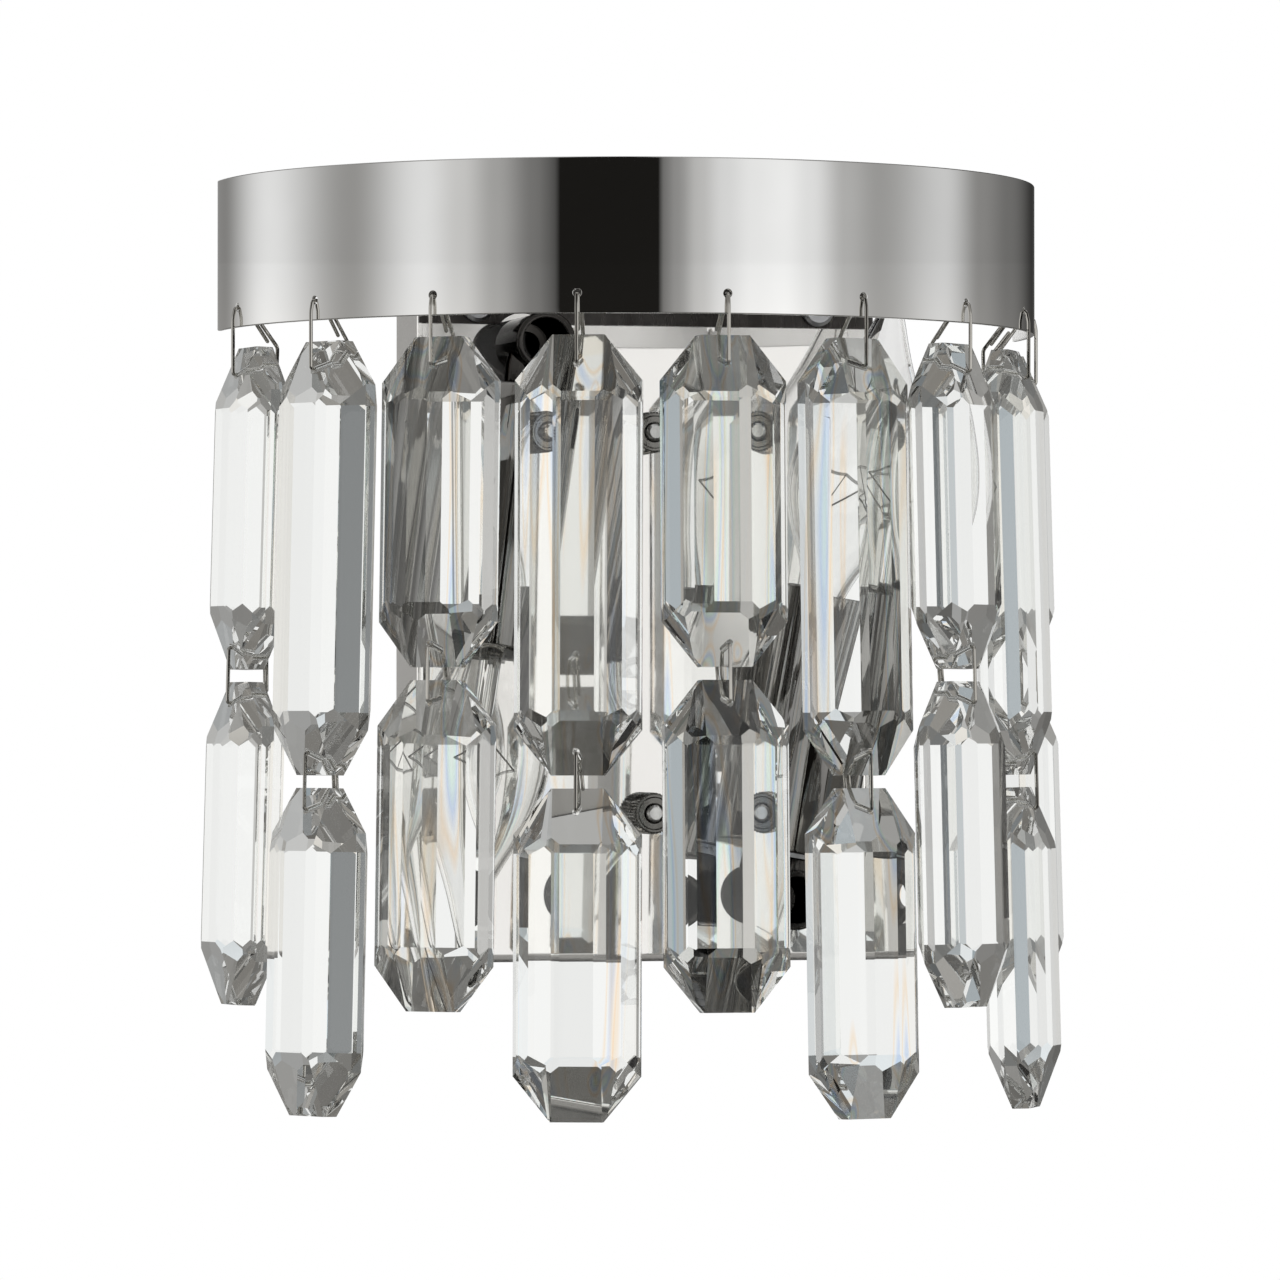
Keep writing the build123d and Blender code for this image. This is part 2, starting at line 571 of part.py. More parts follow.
def socket():
    """Insulating lamp holder: base on the nipple, stem, and cup for the bulb's cap."""
    base = SLEEVE_START + SLEEVE_WALL + SOCKET_GAP
    base_top = base + SOCKET_BASE
    return turned([
        (NIPPLE_RADIUS, base),
        (SOCKET_BASE_RADIUS, base),
        (SOCKET_BASE_RADIUS, base_top),
        (SOCKET_STEM_RADIUS, base_top),
        (SOCKET_STEM_RADIUS, SOCKET_CUP_START - SOCKET_FLARE),
        (SOCKET_CUP_RADIUS, SOCKET_CUP_START),
        (SOCKET_CUP_RADIUS, SOCKET_CUP_END),
        (SOCKET_BORE_RADIUS, SOCKET_CUP_END),
        (SOCKET_BORE_RADIUS, SOCKET_CUP_START + SOCKET_FLOOR),
        (LEAD_HOLE_RADIUS, SOCKET_CUP_START + SOCKET_FLOOR),
        (LEAD_HOLE_RADIUS, SOCKET_CUP_START - LEAD_HOLE),
        (NIPPLE_RADIUS, SOCKET_CUP_START - SOCKET_FLARE - SOCKET_FLOOR),
    ])


def socket_contacts():
    """Screw shell and centre contact of one holder."""
    floor = SOCKET_CUP_START + SOCKET_FLOOR
    shell = tube(SOCKET_BORE_RADIUS, SOCKET_BORE_RADIUS - SHELL_WALL, floor + SHELL_RISE, SOCKET_CUP_END - SHELL_DROP)
    centre = Pos(0, 0, floor + CONTACT_HEIGHT / 2) * Cylinder(CONTACT_RADIUS, CONTACT_HEIGHT)
    return [shell, centre]


def bulb_cap():
    """Screw cap with its insulating cone and contact tip."""
    return turned([
        (0, CAP_START),
        (CAP_TIP_RADIUS, CAP_START),
        (CAP_RADIUS - CAP_STEP, CAP_START + CAP_INSULATOR),
        (CAP_RADIUS, CAP_START + CAP_INSULATOR + CAP_ROUND),
        (CAP_RADIUS, GLASS_START - CAP_FLARE),
        (GLASS_NECK_RADIUS - GLASS_WALL, GLASS_START),
        (0, GLASS_START),
    ])


def glass_profile(skin):
    """Points of the candle outline, moved inwards by a skin thickness."""
    return [
        (GLASS_NECK_RADIUS - skin, GLASS_START),
        (GLASS_WAIST_RADIUS - skin, GLASS_START + GLASS_WAIST),
        (GLASS_RADIUS - skin, GLASS_START + GLASS_BELLY),
        (GLASS_SHOULDER_RADIUS - skin, GLASS_START + GLASS_SHOULDER),
        (GLASS_TIP_RADIUS - skin / 2, GLASS_START + GLASS_LENGTH - GLASS_TIP_RADIUS),
    ]


def candle_body(skin):
    """Solid of the candle shape with a domed tip, smaller by a skin thickness."""
    neck, waist, belly, shoulder, nose = [(radius, 0, height) for radius, height in glass_profile(skin)]
    foot = (0, 0, GLASS_START)
    top = (0, 0, GLASS_START + GLASS_LENGTH - skin)
    arc = ThreePointArc(waist, belly, shoulder)
    rings = [arc @ (step / GLASS_RINGS) for step in range(GLASS_RINGS + 1)]
    return revolve(make_face(Polyline(foot, neck, *rings, nose, top, close=True)), Axis.Z)


def bulb_glass():
    """Clear candle glass, hollow, open at the neck."""
    return candle_body(0) - candle_body(GLASS_WALL)


def filament_mount():
    """Glass stem with its button, two leads, support wires and the filament."""
    low = GLASS_START
    stem = turned([
        (0, low),
        (STEM_FLARE_RADIUS, low),
        (STEM_RADIUS, low + STEM_FLARE),
        (STEM_RADIUS, low + STEM_HEIGHT - 2 * STEM_PINCH),
        (STEM_PINCH_RADIUS, low + STEM_HEIGHT - STEM_PINCH),
        (STEM_BUTTON_RADIUS, low + STEM_HEIGHT),
        (STEM_BUTTON_RADIUS, low + STEM_HEIGHT + STEM_BUTTON),
        (0, low + STEM_HEIGHT + STEM_BUTTON),
    ])
    foot = low + STEM_HEIGHT - STEM_BUTTON / 2
    tops = []
    for number in range(FILAMENT_POINTS):
        share = 2 * number / (FILAMENT_POINTS - 1) - 1
        tops.append(Vector(share * FILAMENT_SPAN / 2, 0, low + FILAMENT_HEIGHT - FILAMENT_SAG * share ** 2))
    wires = []
    for top in tops:
        start = Vector(top.X / 8, 0, foot)
        wires.append(rod(start, top))
    for first, second in zip(tops, tops[1:]):
        wires.append(rod(first, second))
    cage = wires[0]
    for wire in wires[1:]:
        cage += wire
    return stem + cage


def rod(start, end):
    """Thin straight wire between two points."""
    run = end - start
    place = Plane(origin=start, z_dir=run).location
    return place * extrude(RegularPolygon(FILAMENT_WIRE, FILAMENT_SIDES), run.length)


def lamp_nodes():
    """Nodes of both lamps: the left one is the right one turned half round."""
    place = lamp_place()
    half_turn = {"right": Rot(0, 0, 0), "left": Rot(0, 180, 0)}
    nodes = {}
    groups = {"elbow_lock_nuts": [], "lamp_nipples": [], "lamp_sockets": [], "socket_contacts": []}
    nipple = tube(NIPPLE_RADIUS, NIPPLE_RADIUS - NIPPLE_WALL, NIPPLE_START, NIPPLE_END)
    for side, turn in half_turn.items():
        nodes[f"elbow_{side}"] = turn * elbow()
        nodes[f"lamp_sleeve_{side}"] = turn * place * sleeve()
        nodes[f"bulb_glass_{side}"] = turn * place * bulb_glass()
        nodes[f"bulb_cap_{side}"] = turn * place * bulb_cap()
        nodes[f"filament_mount_{side}"] = turn * place * filament_mount()
        groups["elbow_lock_nuts"].append(turn * elbow_lock_nut())
        groups["lamp_nipples"].append(turn * place * nipple)
        groups["lamp_sockets"].append(turn * place * socket())
        groups["socket_contacts"] += [turn * place * piece for piece in socket_contacts()]
    for name, pieces in groups.items():
        nodes[name] = Compound(children=pieces)
    return nodes


def main():
    nodes = {
        "band": band(),
        "band_bracket": band_bracket(),
        "bracket_fasteners": bracket_fasteners(),
        "back_plate": back_plate(),
        "wall_strap": wall_strap(),
        "strap_studs": strap_studs(),
        "terminal_block": terminal_block(),
        "thumb_nut_top": nut_place(1) * thumb_nut(),
        "thumb_nut_bottom": nut_place(-1) * thumb_nut(),
    }
    nodes.update(lamp_nodes())
    nodes.update(crystal_strings())
    os.makedirs("parts", exist_ok=True)
    for name, shape in nodes.items():
        export_step(shape, f"parts/{name}.step")


main()
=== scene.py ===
"""Crystal wall sconce: smooth metal and glass pieces, finishes, studio and camera.

Metres, +Z up, the wall is the plane Y = 0 and the room is towards -Y.
"""
import json
import math

import bmesh
import bpy
import numpy as np
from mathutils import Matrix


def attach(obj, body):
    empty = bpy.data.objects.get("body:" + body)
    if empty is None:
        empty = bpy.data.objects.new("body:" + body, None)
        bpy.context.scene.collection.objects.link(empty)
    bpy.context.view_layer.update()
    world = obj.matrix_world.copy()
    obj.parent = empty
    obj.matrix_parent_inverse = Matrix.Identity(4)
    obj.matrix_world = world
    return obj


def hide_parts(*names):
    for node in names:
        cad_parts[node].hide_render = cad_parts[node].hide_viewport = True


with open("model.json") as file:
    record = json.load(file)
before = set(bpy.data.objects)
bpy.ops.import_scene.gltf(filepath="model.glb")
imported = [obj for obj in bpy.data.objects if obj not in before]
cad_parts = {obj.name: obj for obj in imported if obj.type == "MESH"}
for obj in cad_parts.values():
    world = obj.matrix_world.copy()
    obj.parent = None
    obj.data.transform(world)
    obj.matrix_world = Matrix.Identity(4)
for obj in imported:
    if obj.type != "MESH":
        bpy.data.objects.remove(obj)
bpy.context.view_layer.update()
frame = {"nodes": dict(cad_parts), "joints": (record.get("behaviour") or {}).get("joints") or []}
joints = {joint["name"]: joint for joint in frame["joints"]}

MM = 0.001
STRINGS = 9
# The prisms of these strings get painted colour fringes in their glass colour.
PAINTED_FIRE_STRINGS = (3, 4, 5, 6)  # these split the light into colours most

# Band
BAND_RADIUS = 100.0 * MM
BAND_WALL = 1.2 * MM
BAND_INNER = BAND_RADIUS - BAND_WALL
BAND_LOW = 70.0 * MM
BAND_TOP = 106.0 * MM
BAND_EDGE = 0.3 * MM  # rounding of the rims
BAND_END = 0.5 * MM  # the ends stop this far from the wall
HOLE_RADIUS = 0.95 * MM
HOLE_EDGE = 0.2 * MM
HOLE_Z = BAND_LOW + 4.7 * MM
STRING_STEP = math.radians(20.0)
# Its mesh: steps of a hole's cell, of the gap between two cells, above the cells, of
# the rings round a hole and of a quarter of a rim
CELL_STEPS, GAP_STEPS, RISE_STEPS, RING_STEPS, RIM_STEPS = 8, 14, 10, 6, 4

# Wire hooks and links, in the string's own axes: X aside, Y inwards, Z up
WIRE_RADIUS = 0.45 * MM
WIRE_BEND = 0.75 * MM  # a bend starts this far before its corner
HOOK_FRONT = 1.65 * MM  # widest place of the front leg, outwards from the hinge
HOOK_BOTTOM = 1.25 * MM  # foot of the front leg
HOOK_REAR = 9.78 * MM
HOOK_HEIGHT = 15.95 * MM
LINK_LEG = 4.79 * MM  # half its depth
LINK_HEIGHT = 13.1 * MM

# Plate and studs
PLATE_FACE = -24.0 * MM
STUD_Z = 45.5 * MM
STUD_RADIUS = 2.0 * MM
STUD_END = 33.65 * MM
STUD_PITCH = 0.7 * MM
STUD_THREAD = 0.22 * MM  # depth
STUD_BEVEL = 0.55 * MM
NUT_RADIUS = 5.0 * MM
NUT_LENGTH = 8.0 * MM
NUT_FIT = 0.05 * MM
NUT_TEETH = 40
TOOTH_DEPTH = 0.38 * MM
NUT_BEVEL = 0.55 * MM

# Lamps: heights are along the lamp's axis, from the elbow's axis
ELBOW_X = 30.5 * MM
ELBOW_Z = 66.0 * MM
ELBOW_RADIUS = 6.75 * MM
ELBOW_BORE = 5.5 * MM
ELBOW_REACH = 24.5 * MM
ELBOW_BEAD = 0.4 * MM  # the lip round the mouth stands out this far
ELBOW_FLOOR = 4.0 * MM  # thickness of its closed end
TAIL_RADIUS = 5.0 * MM  # the tail goes through the plate
TAIL_BORE = 3.0 * MM
TAIL_LENGTH = 12.0 * MM
NECK_RISE = 13.0 * MM  # from the plate to the axis of the neck
NECK_RADIUS = 5.9 * MM
NECK_END = 10.5 * MM
SLEEVE_RADIUS = 13.5 * MM
SLEEVE_START = 12.0 * MM
SLEEVE_END = 74.5 * MM
SLEEVE_WALL = 0.8 * MM
SLEEVE_HOLE = 5.05 * MM
SLEEVE_BEND = 0.9 * MM  # rounding of its lip and foot
CAP_RADIUS = 6.95 * MM
CAP_THREAD = (48.2 * MM, 63.5 * MM)  # heights
CAP_PITCH = 2.82 * MM
CAP_DEPTH = 0.75 * MM
GLASS_WALL = 1.1 * MM


# Meshes

def mesh_object(name, points, faces, sharp=35.0):
    """Smooth-shaded mesh of points and faces; edges steeper than `sharp` stay crisp."""
    mesh = bpy.data.meshes.new(name)
    mesh.from_pydata(points.tolist(), [], faces)
    mesh.validate()
    mesh.shade_smooth()
    mesh.set_sharp_from_angle(angle=math.radians(sharp))
    made = bpy.data.objects.new(name, mesh)
    bpy.context.collection.objects.link(made)
    return made


def grid_faces(rows, columns, rows_closed=False, columns_closed=True):
    """Quads of a grid of vertices numbered row by row, as an array of four columns."""
    row = np.arange(rows if rows_closed else rows - 1)
    column = np.arange(columns if columns_closed else columns - 1)
    row, column = np.meshgrid(row, column, indexing="ij")
    next_row, next_column = (row + 1) % rows, (column + 1) % columns
    quads = np.stack([
        row * columns + column,
        row * columns + next_column,
        next_row * columns + next_column,
        next_row * columns + column,
    ], axis=-1)
    return quads.reshape(-1, 4)


def ring_grid(points, rows_closed=False, low_pole=False, high_pole=False, flip=False):
    """Closed rings, one row each, as (vertices, faces).

    A pole closes the first or last ring by a fan of triangles to its middle; `flip`
    turns every face round.
    """
    rows, columns = points.shape[:2]
    vertices = points.reshape(-1, 3)
    faces = grid_faces(rows, columns, rows_closed).tolist()
    here = np.arange(columns)
    after = (here + 1) % columns
    if low_pole:
        pole = np.full(columns, len(vertices))
        vertices = np.vstack([vertices, points[0].mean(axis=0)])
        faces += np.stack([pole, after, here], axis=-1).tolist()
    if high_pole:
        pole = np.full(columns, len(vertices))
        last = (rows - 1) * columns
        vertices = np.vstack([vertices, points[-1].mean(axis=0)])
        faces += np.stack([pole, here + last, after + last], axis=-1).tolist()
    if flip:
        faces = [face[::-1] for face in faces]
    return vertices, faces


def joined(parts):
    """Several (vertices, faces) pairs as one pair."""
    vertices, faces, first = [], [], 0
    for points, quads in parts:
        vertices.append(points)
        faces += [[index + first for index in face] for face in quads]
        first += len(points)
    return np.vstack(vertices), faces


def turned_points(profile, sides):
    """Rings of a profile of (radius, height) turned about Z: x = r cos t, y = r sin t, z = h."""
    turn = 2 * np.pi * np.arange(sides) / sides
    radius, height = profile[:, :1], profile[:, 1:2]
    return np.stack([
        radius * np.cos(turn),
        radius * np.sin(turn),
        height + 0 * turn,
    ], axis=-1)


def turned(profile, sides=96, closed=False):
    """Lathe piece about Z of (radius, height) points; an open profile gets a pole at each end."""
    profile = np.array(profile)
    return ring_grid(turned_points(profile, sides), closed, not closed, not closed)


def rounded(corners, radius, steps=5, closed=True):
    """A path of straight runs whose corners are rounded by a curve from a point `radius`
    before the corner to one `radius` after it: (1-t)^2 a + 2t(1-t) c + t^2 b."""
    corners = np.array(corners, dtype=float)
    before = np.roll(corners, 1, axis=0) - corners
    after = np.roll(corners, -1, axis=0) - corners
    reach_before = np.linalg.norm(before, axis=1, keepdims=True)
    reach_after = np.linalg.norm(after, axis=1, keepdims=True)
    cut = np.minimum(radius, 0.45 * np.minimum(reach_before, reach_after))
    start = (corners + before / reach_before * cut)[:, None]
    end = (corners + after / reach_after * cut)[:, None]
    t = np.linspace(0, 1, steps + 1)[None, :, None]
    bends = (1 - t) ** 2 * start + 2 * t * (1 - t) * corners[:, None] + t ** 2 * end
    if closed:
        return bends.reshape(-1, corners.shape[1])
    inner = bends[1:-1].reshape(-1, corners.shape[1])
    return np.vstack([corners[:1], inner, corners[-1:]])


def spline(points, steps=8):
    """Smooth curve through points: each run is the cubic that leaves a point along the
    line between its two neighbours."""
    points = np.array(points, dtype=float)
    padded = np.vstack([2 * points[0] - points[1], points, 2 * points[-1] - points[-2]])
    slope = (padded[2:] - padded[:-2]) / 2
    t = np.linspace(0, 1, steps, endpoint=False)[None, :, None]
    a, b = points[:-1, None], points[1:, None]
    p, q = slope[:-1, None], slope[1:, None]
    runs = (
        (2 * t ** 3 - 3 * t ** 2 + 1) * a + (t ** 3 - 2 * t ** 2 + t) * p
        + (3 * t ** 2 - 2 * t ** 3) * b + (t ** 3 - t ** 2) * q
    )
    return np.vstack([runs.reshape(-1, points.shape[1]), points[-1:]])


def wire(path, radius, sides=10, aside=(1.0, 0.0, 0.0)):
    """Round wire along a path, with domed ends.

    Each ring is p + r (cos t n + sin t b), where n is `aside` made square to the
    path's direction and b completes the pair.
    """
    path = np.array(path)
    along = np.gradient(path, axis=0)
    along /= np.linalg.norm(along, axis=1, keepdims=True)
    dome = np.linspace(0, np.pi / 2, 4)[:-1]
    start = path[0] - along[0] * radius * np.cos(dome)[:, None]
    end = path[-1] + along[-1] * radius * np.cos(dome[::-1])[:, None]
    rings = np.vstack([start, path, end])
    along = np.vstack([np.repeat(along[:1], 3, 0), along, np.repeat(along[-1:], 3, 0)])
    size = np.concatenate([np.sin(dome), np.ones(len(path)), np.sin(dome[::-1])]) * radius
    size = np.maximum(size, radius * 0.05)[:, None, None]
    side = np.array(aside) - along * (along @ np.array(aside))[:, None]
    side /= np.linalg.norm(side, axis=1, keepdims=True)
    other = np.cross(along, side)
    turn = (2 * np.pi * np.arange(sides) / sides)[None, :, None]
    points = rings[:, None] + size * (np.cos(turn) * side[:, None] + np.sin(turn) * other[:, None])
    return ring_grid(points, low_pole=True, high_pole=True)


def placed(pair, origin, axes):
    """Vertices moved from their own axes (the rows of `axes`) to the object's frame:
    origin + x X + y Y + z Z."""
    vertices, faces = pair
    return np.array(origin) + vertices @ np.array(axes), faces


def piece(name, pair, body, nodes, slot, sharp=35.0):
    """Finished piece that rides on a body and stands for CAD nodes."""
    vertices, faces = pair
    made = mesh_object(name, vertices, faces, sharp)
    made.data.materials.append(finishes[slot])
    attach(made, body)
    if nodes:
        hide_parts(*nodes)


# Finishes

finishes = {}  # the materials, by the name that is also their slot's
NOISE_LOW, NOISE_HIGH = 0.3, 0.7  # nearly all of a noise lies between these
CRYSTAL_TINT = (0.982, 0.99, 0.975)
CRYSTAL_INDEX = 1.52


def new_material(name):
    """Node material, its tree and its principled shader; it joins the finishes."""
    finishes[name] = material = bpy.data.materials.new(name)
    material.use_nodes = True
    return material.node_tree, material.node_tree.nodes["Principled BSDF"]


def noise(tree, scale, detail=3.0, stretch=(1.0, 1.0, 1.0)):
    """Noise on the piece's own coordinates, `scale` waves per metre."""
    place = tree.nodes.new("ShaderNodeTexCoord")
    mapping = tree.nodes.new("ShaderNodeMapping")
    mapping.inputs["Scale"].default_value = stretch
    texture = tree.nodes.new("ShaderNodeTexNoise")
    texture.inputs["Scale"].default_value = scale
    texture.inputs["Detail"].default_value = detail
    tree.links.new(place.outputs["Object"], mapping.inputs["Vector"])
    tree.links.new(mapping.outputs["Vector"], texture.inputs["Vector"])
    return texture.outputs["Fac"]


def spread(tree, value, low, high):
    """A noise mapped to the range low-high."""
    node = tree.nodes.new("ShaderNodeMapRange")
    node.inputs["From Min"].default_value = NOISE_LOW
    node.inputs["From Max"].default_value = NOISE_HIGH
    node.inputs["To Min"].default_value = low
    node.inputs["To Max"].default_value = high
    tree.links.new(value, node.inputs["Value"])
    return node.outputs["Result"]


def tones(tree, value, dark, light):
    """Colour that runs from one tone to another with a noise."""
    node = tree.nodes.new("ShaderNodeValToRGB")
    first, last = node.color_ramp.elements
    first.position, first.color = NOISE_LOW, (*dark, 1.0)
    last.position, last.color = NOISE_HIGH, (*light, 1.0)
    tree.links.new(value, node.inputs["Fac"])
    return node.outputs["Color"]


def bump(tree, shader, height, strength, distance):
    """Relief from a noise, `distance` metres high."""
    node = tree.nodes.new("ShaderNodeBump")
    node.inputs["Strength"].default_value = strength
    node.inputs["Distance"].default_value = distance
    tree.links.new(height, node.inputs["Height"])
    tree.links.new(node.outputs["Normal"], shader.inputs["Normal"])


def polished_metal(name, dark, light, roughness, wave=0.0, wave_scale=20.0, metal=1.0, rim=1.0):
    """Plated metal: slight tone drift, fine polishing marks in the gloss, slow waviness
    `wave` metres deep, and the tone `rim` where it is seen edge on."""
    tree, shader = new_material(name)
    shader.inputs["Metallic"].default_value = metal
    shader.inputs["Specular Tint"].default_value = (rim, rim, rim, 1.0)
    drift = noise(tree, 45.0, 2.0)
    tree.links.new(tones(tree, drift, dark, light), shader.inputs["Base Color"])
    marks = noise(tree, 2600.0, 2.0, (1.0, 1.0, 0.12))
    gloss = spread(tree, marks, roughness * 0.7, roughness * 1.3)
    tree.links.new(gloss, shader.inputs["Roughness"])
    if wave:
        bump(tree, shader, noise(tree, wave_scale, 0.0), 1.0, wave)


def satin_metal(name, dark, light, roughness, metal=1.0):
    """Satin or plain sheet, wire and brass: cloudy tone and a fine grain."""
    tree, shader = new_material(name)
    shader.inputs["Metallic"].default_value = metal
    cloud = noise(tree, 180.0, 4.0)
    tree.links.new(tones(tree, cloud, dark, light), shader.inputs["Base Color"])
    fine = noise(tree, 900.0, 3.0, (1.0, 1.0, 0.1))
    tree.links.new(spread(tree, fine, roughness * 0.7, roughness * 1.3), shader.inputs["Roughness"])
    bump(tree, shader, fine, 0.15, 0.05 * MM)


def moulded_plastic(name, dark, light, roughness):
    """Moulded insulating plastic with a faint flow mottle."""
    tree, shader = new_material(name)
    mottle = noise(tree, 260.0, 4.0)
    tree.links.new(tones(tree, mottle, dark, light), shader.inputs["Base Color"])
    fine = noise(tree, 2400.0, 2.0)
    tree.links.new(spread(tree, fine, roughness * 0.8, roughness * 1.2), shader.inputs["Roughness"])
    bump(tree, shader, fine, 0.2, 0.03 * MM)


def clear_glass(name, tint, index):
    """Clear glass; returns its tree and its shader."""
    tree, shader = new_material(name)
    shader.inputs["Base Color"].default_value = (*tint, 1.0)
    shader.inputs["Transmission Weight"].default_value = 1.0
    shader.inputs["IOR"].default_value = index
    shader.inputs["Roughness"].default_value = 0.0
    return tree, shader


def cut_crystal_painted_fire(name, tint, index):
    """Clear glass whose base colour carries painted upright colour fringes, standing in for the
    coloured light that cut edges throw into a prism.
    """
    tree, shader = clear_glass(name, tint, index)
    # Painted colour fringes: an upright stretched noise picks tints from this ramp.
    painted_fire_ramp = tree.nodes.new("ShaderNodeValToRGB")
    stops = (
        (0.0, tint),
        (0.59, tint),
        (0.61, (1.0, 0.76, 0.52)),
        (0.625, tint),
        (0.645, (0.50, 0.66, 1.0)),
        (0.665, (0.72, 1.0, 0.86)),
        (0.69, tint),
    )
    elements = painted_fire_ramp.color_ramp.elements
    while len(elements) < len(stops):
        elements.new(1.0)
    for element, (place, colour) in zip(elements, stops):
        element.position = place
        element.color = (*colour, 1.0)
    tree.links.new(noise(tree, 110.0, 1.0, (1.0, 1.0, 0.05)), painted_fire_ramp.inputs["Fac"])
    tree.links.new(painted_fire_ramp.outputs["Color"], shader.inputs["Base Color"])


def make_finishes():
    """Every material of the object: its dark and light tone, then its roughness."""
    polished_metal("band_nickel", (0.86, 0.86, 0.85), (0.90, 0.90, 0.89), 0.015)
    satin_metal("band_inside_nickel", (0.95, 0.945, 0.93), (0.98, 0.975, 0.965), 0.45, metal=0.1)
    polished_metal("plate_nickel", (0.985, 0.975, 0.95), (1.0, 0.99, 0.97), 0.03,
                   wave=1.2 * MM, wave_scale=9.0, metal=0.92)
    # Elbow and sleeve tones, and the elbow's low edge-on tone, are darkened to stand in for the
    # dark surroundings they mirror inside the shade: painted dark reflection.
    polished_metal("lamp_nickel", (0.035, 0.033, 0.031), (0.06, 0.057, 0.054), 0.05, rim=0.15)
    polished_metal("sleeve_nickel", (0.24, 0.235, 0.225), (0.32, 0.315, 0.305), 0.04)
    polished_metal("hook_wire", (0.48, 0.465, 0.43), (0.60, 0.585, 0.55), 0.08)
    polished_metal("thumb_nut_nickel", (0.15, 0.147, 0.138), (0.24, 0.235, 0.222), 0.09)
    polished_metal("cap_nickel", (0.66, 0.65, 0.61), (0.76, 0.75, 0.71), 0.15)
    satin_metal("stud_steel", (0.66, 0.66, 0.65), (0.78, 0.78, 0.77), 0.2)
    satin_metal("zinc_steel", (0.52, 0.53, 0.55), (0.70, 0.71, 0.73), 0.35)
    satin_metal("bracket_steel", (0.045, 0.042, 0.04), (0.07, 0.066, 0.063), 0.3)
    satin_metal("contact_brass", (0.68, 0.50, 0.22), (0.82, 0.64, 0.32), 0.25)
    satin_metal("filament_wire", (0.34, 0.33, 0.32), (0.48, 0.47, 0.45), 0.35)
    moulded_plastic("terminal_plastic", (0.80, 0.80, 0.76), (0.86, 0.86, 0.83), 0.45)
    moulded_plastic("socket_plastic", (0.84, 0.83, 0.79), (0.90, 0.89, 0.86), 0.3)
    clear_glass("crystal", CRYSTAL_TINT, CRYSTAL_INDEX)
    # Crystal with painted colour fringes that stand in for the light its cut edges split.
    cut_crystal_painted_fire("crystal_painted_fire", CRYSTAL_TINT, CRYSTAL_INDEX)
    clear_glass("bulb_glass", (0.99, 0.99, 0.985), 1.47)


# Metal pieces

def band_section(heights, low, top):
    """Radii and levels round the strip's section: up its outside, over the top rim, down
    its inside and round the low rim. A rim is two quarter circles of radius BAND_EDGE."""
    quarter = np.linspace(0, np.pi / 2, RIM_STEPS)
    out, up = BAND_EDGE * np.cos(quarter), BAND_EDGE * np.sin(quarter)
    outer, inner = BAND_RADIUS - BAND_EDGE, BAND_INNER + BAND_EDGE
    radii = np.concatenate([
        np.full(len(heights), BAND_RADIUS), (outer + out)[1:], (inner - out[::-1])[:-1],
        np.full(len(heights), BAND_INNER), (inner - out)[1:], (outer + out[::-1])[:-1],
    ])
    levels = np.concatenate([
        heights, (top + up)[1:], (top + up[::-1])[:-1],
        heights[::-1], (low - up)[1:], (low - up[::-1])[:-1],
    ])
    return radii, levels


def band_hole(hole, cell):
    """Rings of (angle, level, radius) from a hole's square cell on the outside, through
    the hole and out to the cell on the inside.

    A ring on a face is c r (1 - b) + s b, where c is the unit circle, r the rim's radius,
    s the square and b runs from 0 to 1.
    """
    side = np.linspace(-1, 1, CELL_STEPS, endpoint=False)
    edge = np.ones_like(side)
    square = np.concatenate([
        np.stack([side, -edge], 1), np.stack([edge, side], 1),
        np.stack([-side, edge], 1), np.stack([-edge, -side], 1),
    ])
    circle = square / np.linalg.norm(square, axis=1, keepdims=True)
    blend = (np.linspace(0, 1, RING_STEPS + 1) ** 1.4)[:, None, None]
    face_rings = circle * (HOLE_RADIUS + HOLE_EDGE) * (1 - blend) + square * cell * blend
    rings = []
    for spokes, radius in (
        (face_rings[::-1], BAND_RADIUS),
        (circle[None] * HOLE_RADIUS, BAND_RADIUS - HOLE_EDGE),
        (circle[None] * HOLE_RADIUS, BAND_INNER + HOLE_EDGE),
        (face_rings, BAND_INNER),
    ):
        around = hole + spokes[..., 0] / BAND_RADIUS
        level = HOLE_Z + spokes[..., 1]
        rings.append(np.stack([around, level, np.full_like(level, radius)], axis=-1))
    return ring_grid(np.vstack(rings))


